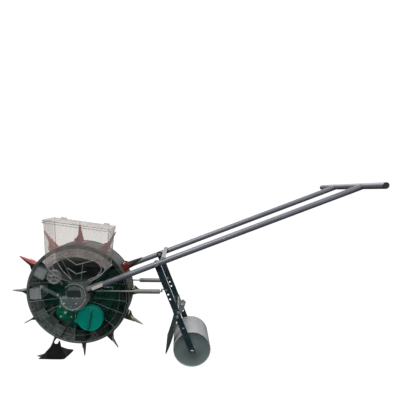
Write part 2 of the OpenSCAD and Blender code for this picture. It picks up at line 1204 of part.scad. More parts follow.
lower_arms();
arm_bolts();
cover_blades();
roller_axle();
lift_rods();
rod_sleeves();
roller_shell();
roller_ends();
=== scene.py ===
import json
import math
import random

import bmesh
import bpy
from mathutils import Matrix, Vector


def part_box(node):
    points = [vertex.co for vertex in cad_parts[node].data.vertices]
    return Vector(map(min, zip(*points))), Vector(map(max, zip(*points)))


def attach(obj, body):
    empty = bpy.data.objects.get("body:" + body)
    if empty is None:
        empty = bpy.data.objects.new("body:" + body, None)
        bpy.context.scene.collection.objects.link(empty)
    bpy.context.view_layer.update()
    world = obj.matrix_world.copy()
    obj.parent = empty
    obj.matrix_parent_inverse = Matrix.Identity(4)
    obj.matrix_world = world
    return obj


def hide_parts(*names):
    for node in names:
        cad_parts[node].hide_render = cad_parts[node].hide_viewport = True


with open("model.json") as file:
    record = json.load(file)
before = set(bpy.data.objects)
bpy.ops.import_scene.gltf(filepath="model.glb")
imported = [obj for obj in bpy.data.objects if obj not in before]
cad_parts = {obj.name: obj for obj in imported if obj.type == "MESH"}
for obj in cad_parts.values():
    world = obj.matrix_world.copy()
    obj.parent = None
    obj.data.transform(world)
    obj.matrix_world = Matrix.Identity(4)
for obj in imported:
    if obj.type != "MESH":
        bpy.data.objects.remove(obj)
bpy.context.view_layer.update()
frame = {"nodes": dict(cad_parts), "record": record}

MM = 0.001
HANDLE_ANGLE = math.radians(21.64)
PIVOT = (318.6, 142.2)    # (x, z) of the arms' pivot from the axle, in millimetres
BEAKS = 12


def middle(node):
    low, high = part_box(node)
    return (low + high) / 2


AXLE = middle("main_axle")
ROLLER = middle("roller_shell")
NODE_BODY = {node: body for body, nodes in frame["record"]["behaviour"]["bodies"].items() for node in nodes}
NODE_SLOT = {part["node"]: part["material_slot"] for part in frame["record"]["subparts"]}


def at(x, y, z, origin=AXLE):
    """A point in millimetres from the drum's axle, or from another line along Y, in the frame's metres."""
    return Vector((origin.x + x * MM, y * MM, origin.z + z * MM))


def polar(radius, degrees):
    """The (x, z) of a point that stands at an angle, from +X towards +Z."""
    angle = math.radians(degrees)
    return radius * math.cos(angle), radius * math.sin(angle)


def turned(origin, degrees):
    """A frame at origin, turned from +X towards +Z."""
    return Matrix.Translation(origin) @ Matrix.Rotation(-math.radians(degrees), 4, "Y")


# ---------------------------------------------------------------- materials

MATERIALS = {}


def new_material(name):
    mat = MATERIALS[name] = bpy.data.materials.new(name)
    mat.use_nodes = True
    return mat.node_tree, mat.node_tree.nodes["Principled BSDF"]


def object_coords(tree, stretch=(1, 1, 1)):
    coords = tree.nodes.new("ShaderNodeTexCoord")
    mapping = tree.nodes.new("ShaderNodeMapping")
    mapping.inputs["Scale"].default_value = stretch
    tree.links.new(coords.outputs["Object"], mapping.inputs["Vector"])
    return mapping.outputs["Vector"]


def noise(tree, vector, scale, detail=4, rough=0.55):
    node = tree.nodes.new("ShaderNodeTexNoise")
    node.inputs["Scale"].default_value = scale
    node.inputs["Detail"].default_value = detail
    node.inputs["Roughness"].default_value = rough
    tree.links.new(vector, node.inputs["Vector"])
    return node.outputs["Fac"]


def remap(tree, value, low, high, out_low=0.0, out_high=1.0):
    node = tree.nodes.new("ShaderNodeMapRange")
    node.inputs["From Min"].default_value = low
    node.inputs["From Max"].default_value = high
    node.inputs["To Min"].default_value = out_low
    node.inputs["To Max"].default_value = out_high
    tree.links.new(value, node.inputs["Value"])
    return node.outputs["Result"]


def mix_colour(tree, factor, a, b):
    """Mixes two colours, each a tuple or a socket, by a socket."""
    node = tree.nodes.new("ShaderNodeMix")
    node.data_type = "RGBA"
    tree.links.new(factor, node.inputs["Factor"])
    for key, value in (("A", a), ("B", b)):
        socket = next(s for s in node.inputs if s.name == key and s.type == "RGBA")
        if isinstance(value, bpy.types.NodeSocket):
            tree.links.new(value, socket)
        else:
            socket.default_value = (*value[:3], 1)
    return next(s for s in node.outputs if s.type == "RGBA")


def bump(tree, height, strength, distance):
    node = tree.nodes.new("ShaderNodeBump")
    node.inputs["Strength"].default_value = strength
    node.inputs["Distance"].default_value = distance
    tree.links.new(height, node.inputs["Height"])
    return node.outputs["Normal"]


def calculate(tree, operation, a, b, clamp=False):
    node = tree.nodes.new("ShaderNodeMath")
    node.operation = operation
    node.use_clamp = clamp
    tree.links.new(a, node.inputs[0])
    tree.links.new(b, node.inputs[1])
    return node.outputs[0]


def mix_shaders(tree, factor, first, second):
    """Sends a mix of two shader nodes to the material's output."""
    mix = tree.nodes.new("ShaderNodeMixShader")
    tree.links.new(factor, mix.inputs["Fac"])
    tree.links.new(first.outputs[0], mix.inputs[1])
    tree.links.new(second.outputs[0], mix.inputs[2])
    tree.links.new(mix.outputs[0], tree.nodes["Material Output"].inputs["Surface"])


def solid(name, colour, rough, metal=0.0, coat=0.0, tone=0.12, tone_scale=60, stretch=(1, 1, 1), grain=0.12,
          grain_scale=1500, grain_depth=0.0001, wear=None, dust=None, second=None, specular=0.5):
    """A surface with drifting tone and fine grain. wear and dust are the colours of worn edges and of dusty patches,
    each with its amount as a fourth number."""
    tree, shader = new_material(name)
    vector = object_coords(tree, stretch)
    drift = noise(tree, vector, tone_scale, 5)
    dark = tuple(c * (1 - tone) for c in colour)
    light = second or tuple(min(1, c * (1 + tone)) for c in colour)
    surface = mix_colour(tree, remap(tree, drift, 0.3, 0.7), dark, light)
    if dust:
        patches = remap(tree, noise(tree, object_coords(tree), 14, 8, 0.7), 0.5, 0.75, 0, dust[3])
        surface = mix_colour(tree, patches, surface, dust)
    if wear:
        pointiness = tree.nodes.new("ShaderNodeNewGeometry").outputs["Pointiness"]
        patches = remap(tree, noise(tree, object_coords(tree), 160, 3), 0.42, 0.6, 0, wear[3])
        mask = calculate(tree, "MULTIPLY", remap(tree, pointiness, 0.52, 0.60), patches)
        surface = mix_colour(tree, mask, surface, wear)
    tree.links.new(surface, shader.inputs["Base Color"])
    fine = noise(tree, vector, grain_scale, 3)
    tree.links.new(remap(tree, drift, 0.25, 0.75, rough * 0.8, min(1, rough * 1.25)), shader.inputs["Roughness"])
    tree.links.new(bump(tree, fine, grain, grain_depth), shader.inputs["Normal"])
    shader.inputs["Metallic"].default_value = metal
    shader.inputs["Coat Weight"].default_value = coat
    shader.inputs["Coat Roughness"].default_value = 0.12
    shader.inputs["Specular IOR Level"].default_value = specular


def clear(name, pane, body, thin, edge, rough=0.12, haze=0.08, specular=0.45, fade=None):
    """Clear moulded plastic. pane tints what shows through it, body is the colour of its cloudy edges and flow lines,
    thin and edge are how much of body shows square on and at a glancing angle, fade the heights where that sets in."""
    tree, shader = new_material(name)
    flow = noise(tree, object_coords(tree, (1, 1, 0.35)), 26, 5, 0.6)
    cloudy = tuple(min(1, c * 1.25) for c in body)
    tree.links.new(mix_colour(tree, remap(tree, flow, 0.35, 0.7), body, cloudy), shader.inputs["Base Color"])
    tree.links.new(remap(tree, flow, 0.3, 0.7, rough * 0.7, rough * 1.5), shader.inputs["Roughness"])
    ripples = noise(tree, object_coords(tree), 70, 2)
    tree.links.new(bump(tree, ripples, 0.2, 0.001), shader.inputs["Normal"])
    shader.inputs["Specular IOR Level"].default_value = specular
    see_through = tree.nodes.new("ShaderNodeBsdfTransparent")
    see_through.inputs["Color"].default_value = (*pane, 1)
    facing = tree.nodes.new("ShaderNodeLayerWeight")
    facing.inputs["Blend"].default_value = 0.3
    rise = remap(tree, facing.outputs["Facing"], 0.25, 1.0, thin, edge)
    amount = calculate(tree, "ADD", rise, remap(tree, flow, 0.5, 0.85, 0, haze), clamp=True)
    if fade:
        split = tree.nodes.new("ShaderNodeSeparateXYZ")
        tree.links.new(object_coords(tree), split.inputs["Vector"])
        amount = calculate(tree, "MULTIPLY", amount, remap(tree, split.outputs["Z"], *fade, 0.15, 1))
    mix_shaders(tree, amount, see_through, shader)


def make_materials():
    # steel and zinc
    solid("tube_steel", (0.165, 0.170, 0.200), 0.36, metal=0.25, tone_scale=18, stretch=(0.25, 1, 1), grain=0.03,
          grain_scale=900, dust=(0.22, 0.22, 0.235, 0.25))
    solid("bar_steel", (0.009, 0.025, 0.031), 0.52, tone=0.18, tone_scale=14, grain=0.06, grain_scale=500,
          wear=(0.20, 0.22, 0.24, 0.6), dust=(0.035, 0.055, 0.068, 0.5), specular=0.18)
    solid("zinc", (0.34, 0.35, 0.35), 0.34, metal=0.7, tone=0.14, tone_scale=120, grain=0.15, grain_scale=1600,
          wear=(0.8, 0.8, 0.8, 0.5))
    solid("zinc_pale", (0.30, 0.31, 0.30), 0.42, metal=0.3, tone_scale=70, wear=(0.85, 0.85, 0.85, 0.5))
    # Pale white of the clamp plate, also used for the painted glints on the arch and the painted reflection beside the
    # cap.
    solid("clamp_white", (0.66, 0.69, 0.62), 0.4, metal=0.1, tone_scale=90, wear=(0.85, 0.85, 0.85, 0.4))
    solid("zinc_green", (0.34, 0.39, 0.385), 0.36, metal=0.5, tone=0.25, tone_scale=90, wear=(0.7, 0.74, 0.74, 0.7))
    solid("bright_steel", (0.55, 0.56, 0.58), 0.22, metal=1.0, tone=0.08, tone_scale=90, stretch=(1, 0.1, 1),
          grain=0.2, grain_scale=2200)
    solid("jaw_zinc", (0.22, 0.23, 0.13), 0.36, metal=0.4, tone=0.2, tone_scale=70, grain=0.15, grain_scale=1300,
          wear=(0.6, 0.6, 0.5, 0.8), second=(0.42, 0.42, 0.30))
    solid("jaw_grey", (0.17, 0.18, 0.18), 0.36, metal=0.5, tone=0.2, tone_scale=70, grain=0.15, grain_scale=1300,
          wear=(0.6, 0.6, 0.6, 0.8), second=(0.36, 0.37, 0.37))
    solid("blade_green", (0.022, 0.050, 0.040), 0.4, metal=0.2, tone=0.5, tone_scale=36, grain=0.2, grain_scale=700,
          wear=(0.20, 0.26, 0.23, 0.9))
    solid("black_steel", (0.008, 0.010, 0.009), 0.4, metal=0.2, tone=0.4, grain=0.25, grain_scale=700,
          wear=(0.20, 0.20, 0.19, 0.8), dust=(0.05, 0.05, 0.045, 0.4))
    # coloured plastic
    solid("drum_green", (0.016, 0.140, 0.096), 0.42, tone=0.35, tone_scale=16, grain=0.2, grain_scale=1100,
          wear=(0.05, 0.09, 0.075, 0.5), dust=(0.030, 0.060, 0.050, 0.6), specular=0.2)
    solid("cup_plastic", (0.012, 0.032, 0.025), 0.42, tone=0.3, tone_scale=45, grain=0.2, grain_scale=900,
          dust=(0.07, 0.08, 0.075, 0.4), specular=0.3)
    solid("flange_green", (0.0, 0.098, 0.054), 0.34, tone=0.25, grain=0.1, grain_scale=1200,
          wear=(0.1, 0.4, 0.28, 0.7), specular=0.2)
    solid("cap_teal", (0.0, 0.225, 0.172), 0.38, tone_scale=50, grain_scale=1300, wear=(0.10, 0.40, 0.34, 0.8),
          specular=0.15)
    # A darker copy of cap_teal for the grip bar: painted shade on the bar's shadow side.
    solid("cap_grip", (0.0, 0.105, 0.085), 0.36, tone_scale=50, grain_scale=1300, wear=(0.10, 0.40, 0.34, 0.5),
          specular=0.2)
    solid("beak_red", (0.42, 0.030, 0.028), 0.34, coat=0.2, tone=0.3, tone_scale=110, dust=(0.45, 0.16, 0.13, 0.5))
    solid("beak_dark_red", (0.20, 0.012, 0.012), 0.36, tone=0.3, tone_scale=110, dust=(0.35, 0.12, 0.10, 0.4))
    solid("beak_rose", (0.52, 0.19, 0.18), 0.4, tone=0.25, tone_scale=110, dust=(0.55, 0.38, 0.36, 0.6))
    solid("beak_khaki", (0.050, 0.062, 0.022), 0.4, tone=0.35, tone_scale=110, grain=0.15,
          dust=(0.20, 0.22, 0.12, 0.5))
    # black, grey and white
    solid("beak_black", (0.010, 0.011, 0.011), 0.42, tone=0.35, tone_scale=110, grain=0.15,
          dust=(0.06, 0.06, 0.055, 0.4))
    # Also used for the painted shadow under the hub housing's edge and the painted shade under the clamp sleeve.
    solid("black_plastic", (0.012, 0.012, 0.013), 0.5, tone=0.3, grain=0.3, grain_scale=900)
    solid("shoe_black", (0.004, 0.004, 0.004), 0.6, tone=0.4, tone_scale=30, grain=0.4, grain_scale=260,
          grain_depth=0.0005)
    # A lighter copy of shoe_black: painted light on the share and on the lit faces of the upright.
    solid("shoe_grey", (0.030, 0.032, 0.032), 0.55, tone=0.4, tone_scale=30, grain=0.4, grain_scale=260,
          grain_depth=0.0005)
    solid("gear_grey", (0.055, 0.062, 0.058), 0.45, tone=0.2, grain=0.1, grain_scale=1300,
          dust=(0.12, 0.12, 0.11, 0.4))
    solid("bristle", (0.02, 0.02, 0.02), 0.6, tone=0.4, tone_scale=400, grain=0.5, grain_scale=2500)
    solid("sleeve_grey", (0.165, 0.178, 0.165), 0.42, metal=0.3, tone_scale=70, grain=0.08, wear=(0.6, 0.6, 0.6, 0.4))
    solid("roller_grey", (0.30, 0.31, 0.315), 0.5, metal=0.1, tone=0.06, tone_scale=20, stretch=(1, 0.25, 1),
          grain_scale=900, wear=(0.6, 0.6, 0.6, 0.8), dust=(0.45, 0.45, 0.45, 0.25))
    solid("roller_disc", (0.142, 0.186, 0.184), 0.46, metal=0.1, tone=0.14, tone_scale=12, grain=0.15,
          grain_scale=800, wear=(0.4, 0.4, 0.4, 0.6), dust=(0.15, 0.165, 0.16, 0.4))
    solid("white_plastic", (0.62, 0.60, 0.52), 0.4, tone=0.1, grain=0.1, grain_scale=1300,
          dust=(0.4, 0.36, 0.28, 0.3))
    # clear plastic
    clear("clear_plastic", (0.962, 0.956, 0.950), (0.54, 0.505, 0.49), 0.075, 0.62, haze=0.05)
    clear("bin_clear", (0.950, 0.942, 0.933), (0.54, 0.505, 0.49), 0.085, 0.62, haze=0.05,
          fade=(AXLE.z + 0.160, AXLE.z + 0.190))
    clear("funnel_clear", (0.975, 0.972, 0.974), (0.36, 0.35, 0.37), 0.006, 0.40, haze=0.02, specular=0.25)
    clear("clear_line", (0.9, 0.9, 0.9), (0.52, 0.54, 0.535), 0.75, 0.95, haze=0.2)
    clear("clear_bright", (0.93, 0.94, 0.94), (0.46, 0.48, 0.48), 0.35, 0.95, haze=0.2)
    clear("clear_grey", (0.80, 0.80, 0.79), (0.30, 0.30, 0.29), 0.45, 0.95, haze=0.2)
    clear("smoky_plastic", (0.97, 0.98, 0.975), (0.030, 0.055, 0.047), 0.03, 0.35, haze=0.05, specular=0.2)
    clear("rim_clear", (0.45, 0.48, 0.47), (0.12, 0.135, 0.13), 0.55, 0.95, haze=0.3)
    clear("housing_clear", (0.85, 0.87, 0.87), (0.33, 0.400, 0.395), 0.15, 0.85, haze=0.25)
    # Pale clear for the arch over the top of the near ring: painted light.
    clear("arch_clear", (0.85, 0.84, 0.85), (0.76, 0.71, 0.73), 0.62, 0.9, haze=0.3)
    # Dark sheet behind the hub housing's window: painted shade.
    clear("window_dark", (0.25, 0.28, 0.27), (0.030, 0.042, 0.038), 0.7, 0.95)
    clear("cup_mid", (0.6, 0.63, 0.62), (0.17, 0.21, 0.195), 0.65, 0.9, haze=0.2)
    clear("cup_clear", (0.75, 0.78, 0.77), (0.42, 0.44, 0.455), 0.72, 0.95, haze=0.2)


# ---------------------------------------------------------------- mesh helpers

def mesh_object(name, bm, smooth_deg=35):
    bmesh.ops.recalc_face_normals(bm, faces=bm.faces)
    mesh = bpy.data.meshes.new(name)
    bm.to_mesh(mesh)
    bm.free()
    for polygon in mesh.polygons:
        polygon.use_smooth = True
    mesh.set_sharp_from_angle(angle=math.radians(smooth_deg))
    piece = bpy.data.objects.new(name, mesh)
    bpy.context.scene.collection.objects.link(piece)
    return piece


DRESSED = set()           # the CAD nodes that have a visible piece


def dress(piece, body, slot, material, *nodes):
    """Rides a piece on its body, gives it its material, and hides the CAD nodes it stands for."""
    piece.data.materials.clear()
    piece.data.materials.append(MATERIALS[material])
    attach(piece, body)
    if nodes:
        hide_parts(*nodes)
        DRESSED.update(nodes)


def add_bevel(piece, width_mm, segments=2):
    bevel = piece.modifiers.new("edges", "BEVEL")
    bevel.width = width_mm * MM
    bevel.segments = segments
    bevel.limit_method = "ANGLE"
    bevel.angle_limit = math.radians(35)
    bevel.use_clamp_overlap = True
    bevel.miter_outer = "MITER_ARC"
    return piece


def prism(bm, outline, y0, y1, origin=AXLE):
    """Plate with an outline of (x, z) points from y0 to y1, in millimetres from origin."""
    near = [bm.verts.new(at(x, y0, z, origin)) for x, z in outline]
    far = [bm.verts.new(at(x, y1, z, origin)) for x, z in outline]
    bm.faces.new(near)
    bm.faces.new(far[::-1])
    count = len(outline)
    for i in range(count):
        j = (i + 1) % count
        bm.faces.new((near[j], near[i], far[i], far[j]))


def loft(bm, rings, loop_around=False, closed_rings=True):
    """Skin over rings of points, with end caps unless loop_around joins the last ring to the first."""
    rows = [[bm.verts.new(p) for p in ring] for ring in rings]
    count = len(rows[0])
    for low, high in zip(rows, rows[1:] + (rows[:1] if loop_around else [])):
        for i in range(count if closed_rings else count - 1):
            j = (i + 1) % count
            bm.faces.new((low[i], low[j], high[j], high[i]))
    if not loop_around:
        bm.faces.new(rows[0][::-1])
        bm.faces.new(rows[-1])
    return rows


def lathe(bm, profile, centre, steps=96, closed=True):
    """Turns a profile of (radius, y) pairs, in millimetres, about a line along Y through centre."""
    rings = []
    for k in range(steps):
        c, s = polar(1, 360 * k / steps)
        rings.append([at(r * c, y, r * s, centre) for r, y in profile])
    return loft(bm, rings, loop_around=True, closed_rings=closed)


def box_mesh(bm, low, high, matrix=None):
    """Box between two corners in metres."""
    corners = [Vector((x, y, z)) for x in (low[0], high[0]) for y in (low[1], high[1]) for z in (low[2], high[2])]
    verts = [bm.verts.new(matrix @ c if matrix else c) for c in corners]
    for quad in ((0, 1, 3, 2), (4, 6, 7, 5), (0, 4, 5, 1), (2, 3, 7, 6), (0, 2, 6, 4), (1, 5, 7, 3)):
        bm.faces.new([verts[i] for i in quad])


def box_mm(bm, low, high, matrix=None):
    box_mesh(bm, [v * MM for v in low], [v * MM for v in high], matrix)


def wire(bm, points, radius_mm, sides=8):
    """Round wire of one radius along a list of points."""
    rings = []
    up = Vector((0, 1, 0))
    for k, p in enumerate(points):
        ahead = points[min(k + 1, len(points) - 1)] - points[max(k - 1, 0)]
        ahead.normalize()
        side = ahead.cross(up)
        if side.length < 0.05:
            side = ahead.cross(Vector((1, 0, 0)))
        side.normalize()
        up = side.cross(ahead)
        rings.append([p + side * c + up * s for c, s in (polar(radius_mm * MM, 360 * n / sides) for n in range(sides))])
    loft(bm, rings)


def beak_matrix(i):
    """Frame of beak i: X runs out along the beak, Z runs round the rim, in metres."""
    return turned(AXLE, 360 * i / BEAKS)


def add_copy(bm, source, matrix):
    """Adds a copy of the mesh in source, moved by matrix, to bm."""
    lookup = {v: bm.verts.new(matrix @ v.co) for v in source.verts}
    for f in source.faces:
        bm.faces.new([lookup[v] for v in f.verts])


def softened(node, width_mm=0.5, keep=None, name=None):
    """Copy of a CAD node with its flat faces rejoined and its edges rounded. keep picks faces by their centre."""
    bm = bmesh.new()
    bm.from_mesh(frame["nodes"][node].data)
    if keep is not None:
        unwanted = [f for f in bm.faces if not keep(f.calc_center_median())]
        bmesh.ops.delete(bm, geom=unwanted, context="FACES")
    bmesh.ops.remove_doubles(bm, verts=bm.verts, dist=1e-6)
    bmesh.ops.dissolve_limit(bm, angle_limit=math.radians(0.8), verts=bm.verts, edges=bm.edges)
    return add_bevel(mesh_object(name or "soft_" + node, bm), width_mm)


def smooth_run(points):
    """Points along a soft curve through the given ones, six to a stretch."""
    if len(points) < 3:
        return points
    ends = [points[0] * 2 - points[1]] + points + [points[-1] * 2 - points[-2]]
    run = []
    for a, b, c, d in zip(ends, ends[1:], ends[2:], ends[3:]):
        for t in (k / 6 for k in range(6)):
            run.append(0.5 * (2 * b + (c - a) * t + (2 * a - 5 * b + 4 * c - d) * t ** 2
                              + (3 * b - a - 3 * c + d) * t ** 3))
    return run + [points[-1]]


def beads(name, runs, radius_mm, material, slot="clear_plastic", body="frame"):
    """Thin round ribs along runs of (x, y, z) points, in millimetres from the axle."""
    bm = bmesh.new()
    for run in runs:
        wire(bm, smooth_run([at(*p) for p in run]), radius_mm, 6)
    dress(mesh_object(name, bm, 60), body, slot, material)


def flat(runs, y):
    """Runs of (x, z) points, all laid at one y."""
    return [[(x, y, z) for x, z in run] for run in runs]


# ---------------------------------------------------------------- camera, light, floor

def make_camera():
    """Camera fitted to the photograph: its turns in radians, and its place in metres from the axle."""
    pitch, yaw, roll = 0.1456, 0.0070, 0.0116
    forward = Vector((math.sin(yaw) * math.cos(pitch), math.cos(yaw) * math.cos(pitch), -math.sin(pitch)))
    right = Vector((math.cos(yaw), -math.sin(yaw), 0))
    up = right.cross(forward)
    rolled_right = right * math.cos(roll) + up * math.sin(roll)
    rolled_up = up * math.cos(roll) - right * math.sin(roll)
    data = bpy.data.cameras.new("camera")
    data.sensor_width = 36
    data.lens = 27.11
    data.shift_x, data.shift_y = 0.0451, 0.0890
    data.clip_start = 0.05
    camera = bpy.data.objects.new("camera", data)
    turn = Matrix((rolled_right, rolled_up, -forward)).transposed().to_4x4()
    camera.matrix_world = Matrix.Translation((AXLE.x + 0.40718, -1.22131, 0.71051)) @ turn
    bpy.context.scene.collection.objects.link(camera)
    bpy.context.scene.camera = camera


def area_light(name, place, target, size, power):
    data = bpy.data.lights.new(name, "AREA")
    data.shape = "RECTANGLE"
    data.size, data.size_y = size
    data.energy = power
    light = bpy.data.objects.new(name, data)
    light.location = place
    light.rotation_euler = (Vector(target) - Vector(place)).to_track_quat("-Z", "Y").to_euler()
    bpy.context.scene.collection.objects.link(light)


def make_light():
    """A studio with a bright ceiling and a dim floor, seen as plain white by the camera."""
    world = bpy.data.worlds.new("studio")
    bpy.context.scene.world = world
    world.use_nodes = True
    tree = world.node_tree
    background = tree.nodes["Background"]
    split = tree.nodes.new("ShaderNodeSeparateXYZ")
    tree.links.new(tree.nodes.new("ShaderNodeTexCoord").outputs["Generated"], split.inputs["Vector"])
    ramp = tree.nodes.new("ShaderNodeValToRGB")
    stops = ramp.color_ramp.elements
    stops.new(0.55)
    for stop, place, colour in zip(stops, (0.46, 0.55, 0.82), ((0.03, 0.03, 0.032), (0.33, 0.33, 0.34), (1, 1, 1))):
        stop.position = place
        stop.color = (*colour, 1)
    tree.links.new(remap(tree, split.outputs["Z"], -1, 1), ramp.inputs["Fac"])
    light_path = tree.nodes.new("ShaderNodeLightPath")
    shown = mix_colour(tree, light_path.outputs["Is Camera Ray"], ramp.outputs["Color"], (1.06, 1.06, 1.06))
    tree.links.new(shown, background.inputs["Color"])
    area_light("key", (-0.9, -1.3, 2.6), (0, 0, 0.3), (1.4, 1.4), 36)
    area_light("fill", (1.9, -1.6, 1.3), (0.1, 0, 0.3), (0.8, 1.6), 6)
    area_light("back", (0.3, 2.2, 2.2), (0, 0, 0.3), (2.2, 0.8), 16)


def make_floor():
    """Dim floor that the camera sees as white paper."""
    bm = bmesh.new()
    bmesh.ops.create_grid(bm, x_segments=8, y_segments=8, size=6)
    floor = mesh_object("floor", bm)
    tree, shader = new_material("floor")
    tone = mix_colour(tree, noise(tree, object_coords(tree), 6), (0.035, 0.035, 0.035), (0.042, 0.042, 0.042))
    tree.links.new(tone, shader.inputs["Base Color"])
    shader.inputs["Roughness"].default_value = 0.8
    paper = tree.nodes.new("ShaderNodeEmission")
    paper.inputs["Strength"].default_value = 1.07
    light_path = tree.nodes.new("ShaderNodeLightPath")
    mix_shaders(tree, light_path.outputs["Is Camera Ray"], shader, paper)
    floor.data.materials.append(MATERIALS["floor"])


# ---------------------------------------------------------------- beaks

def jaw_mesh(tip_mm, side, gap_mm, belly_mm):
    """One half of a beak: a curved steel trough from its root to its tip. side is +1 or -1 round the rim."""
    root_mm, root_half, tip_half, tip_depth = 211, 12.6, 2.2, 1.2
    stations, arc, squareness = 14, 12, 0.72
    rings = []
    for s in range(stations + 1):
        t = s / stations
        x = root_mm + (tip_mm - root_mm) * t
        swell = 1 - max(0, (t - 0.16) / 0.84) ** 1.25
        half = tip_half + (root_half - tip_half) * swell
        depth = tip_depth + (belly_mm - tip_depth) * swell
        wall = 2.0 if t < 0.9 else 2.0 * (1 - t) / 0.1 + 0.25
        outer, inner = [], []
        for k in range(arc + 1):
            a = math.pi * k / arc
            cy = math.copysign(abs(math.cos(a)) ** squareness, math.cos(a))
            sz = math.sin(a) ** squareness if math.sin(a) > 1e-6 else 0
            outer.append((x * MM, half * cy * MM, side * (gap_mm + depth * sz) * MM))
            inner.append((x * MM, max(0.3, half - wall) * cy * MM,
                          side * (gap_mm + max(0.2, depth - wall) * sz) * MM))
        rings.append(outer + inner[::-1])
    bm = bmesh.new()
    loft(bm, rings)
    return bm


# Depth in millimetres of the fixed and the moving jaw, for each beak that differs from the others
OTHER_BELLY = (6, 7.5)
BELLY = {1: (12.6, 13.2), 5: (11, 13.2), 7: (3.2, 3.4), 8: (3.2, 3.4), 10: (3.2, 3.4)}
FIXED_LOOK = (("red", (5,), "beak_red"), ("rose", (2, 3, 4), "beak_rose"), ("black", (1,), "black_steel"),
              ("grey", (6, 7, 8, 10), "jaw_grey"), ("khaki", (0, 9, 11), "jaw_zinc"))
JAW_LOOK = {1: "beak_black", 5: "beak_black", 6: "beak_black", 2: "beak_rose", 3: "beak_rose", 4: "beak_rose",
            7: "jaw_grey", 8: "jaw_grey", 10: "jaw_grey"}
SOCKET_LOOK = (("red", (1,), "beak_dark_red"), ("rose", (2, 3, 4), "beak_rose"), ("dark", (5, 6, 7, 8), "beak_black"),
               ("olive", (9, 10, 11, 0), "beak_khaki"))


def copied(one, chosen):
    """Mesh with a copy of one at each chosen beak; one is used up."""
    bm = bmesh.new()
    for i in chosen:
        add_copy(bm, one, beak_matrix(i))
    one.free()
    return bm


def make_fixed_jaws():
    """Fixed jaws with two stiffening ribs each; the ones that meet the soil are worn slimmer."""
    for name, chosen, material in FIXED_LOOK:
        bm = bmesh.new()
        for i in chosen:
            belly = BELLY.get(i, OTHER_BELLY)[0]
            one = jaw_mesh(292.5, -1, 0.4, belly)
            for y in (-7.5, 7.5):
                box_mm(one, (210.5, y - 1.2, -belly - 0.4), (252, y + 1.2, -belly * 0.9))
            add_copy(bm, one, beak_matrix(i))
            one.free()
        dress(mesh_object("fixed_beak_jaws_" + name, bm), "drum", "black_steel", material, "fixed_jaws")


def tube_mm(bm, centre, inner, outer, y0, y1, steps):
    """Short tube along Y round an (x, z) centre, all in millimetres from the origin of the mesh."""
    rings = []
    for r, y in ((inner, y0), (outer, y0), (outer, y1), (inner, y1)):
        points = (polar(r, 360 * k / steps) for k in range(steps))
        rings.append([((centre[0] + x) * MM, y * MM, (centre[1] + z) * MM) for x, z in points])
    loft(bm, rings, loop_around=True)


def make_moving_jaws():
    """Moving jaws, each with two round ears on its pin."""
    for i in range(BEAKS):
        bm = jaw_mesh(291, 1, 0.6, BELLY.get(i, OTHER_BELLY)[1])
        for ear, lug in (((-13, -8), (-12, -8.5)), ((8, 13), (8.5, 12))):
            tube_mm(bm, (215, 15), 2.55, 5, *ear, 28)
            box_mm(bm, (213, lug[0], 8.5), (222, lug[1], 11.8))
        bmesh.ops.transform(bm, matrix=beak_matrix(i), verts=bm.verts)
        name = "moving_jaw_%02d" % (i + 1)
        dress(mesh_object("beak_" + name, bm), "jaw_%02d" % (i + 1), "jaw_zinc", JAW_LOOK.get(i, "jaw_zinc"), name)


def socket_mesh():
    """Plastic spout of one beak: a rounded flange, a spout through the rim and two cheeks round the pin."""
    bm = bmesh.new()
    flange = [(-22, -17), (-19, -20), (19, -20), (22, -17), (22, 19), (19, 22), (-19, 22), (-22, 19)]
    loft(bm, [[(x * MM, y * MM, z * MM) for y, z in flange] for x in (205.2, 208.2)])
    for y0, y1, z0, z1 in ((-13, 13, -12, -10), (-13, 13, 10, 12), (-13, -11, -10, 10), (11, 13, -10, 10)):
        box_mm(bm, (190, y0, z0), (205.5, y1, z1))
    cheek = [(207.5, -9), (216, -9), (226, -6.5), (238, -3.5), (246, -1.5), (248, 0.5), (240, 4), (231, 9),
             (225, 16), (220, 20.3), (210, 20.3), (207.5, 17)]
    rib = [(x - 2 if x > 212 else x, z * 0.62) for x, z in cheek]
    for cheek_y, rib_y in (((-17, -14.2), (-18, -17)), ((14.2, 17), (17, 18))):
        prism(bm, cheek, *cheek_y, Vector())
        prism(bm, rib, *rib_y, Vector())
    return bm


def make_sockets():
    """Spouts by colour: the upper ones red and rose, the lower ones dark and olive."""
    for name, chosen, material in SOCKET_LOOK:
        piece = add_bevel(mesh_object(name + "_beak_sockets", copied(socket_mesh(), chosen)), 0.5)
        dress(piece, "drum", "beak_red", material, "beak_sockets")


def make_springs():
    """Torsion springs on the jaw pins, each with two legs."""
    coils, per_turn, width = 6, 14, 11.2
    points = [Vector((209.5, -6.2, 5.5)), Vector((211.2, -6.2, 10.5))]
    for k in range(coils * per_turn + 1):
        x, z = polar(3.7, 180 + 360 * k / per_turn)
        points.append(Vector((215 + x, width * (k / (coils * per_turn) - 0.5), 15 + z)))
    points += [Vector((210.0, 6.0, 11.8)), Vector((208.2, 6.0, 10.5))]
    bm = bmesh.new()
    for i in range(BEAKS):
        wire(bm, [beak_matrix(i) @ (p * MM) for p in points], 0.6, 6)
    dress(mesh_object("jaw_torsion_springs", bm), "drum", "bright_steel", "bright_steel", "jaw_springs")


def make_pins():
    """Jaw pins with a domed head at one end and a clip at the other."""
    profile = [(0, -20.6), (2.6, -20.3), (3.9, -19.2), (4.0, -18), (2.5, -17.9), (2.5, 17.6), (3.4, 17.7),
               (3.4, 18.4), (2.4, 18.5), (2.3, 19.6), (0, 19.8)]
    one = bmesh.new()
    lathe(one, profile, Vector((0.215, 0, 0.015)), 24, closed=False)
    bmesh.ops.remove_doubles(one, verts=one.verts, dist=1e-6)
    bm = copied(one, range(BEAKS))
    dress(mesh_object("jaw_hinge_pins", bm), "drum", "bright_steel", "bright_steel", "jaw_pins")


# ---------------------------------------------------------------- hopper

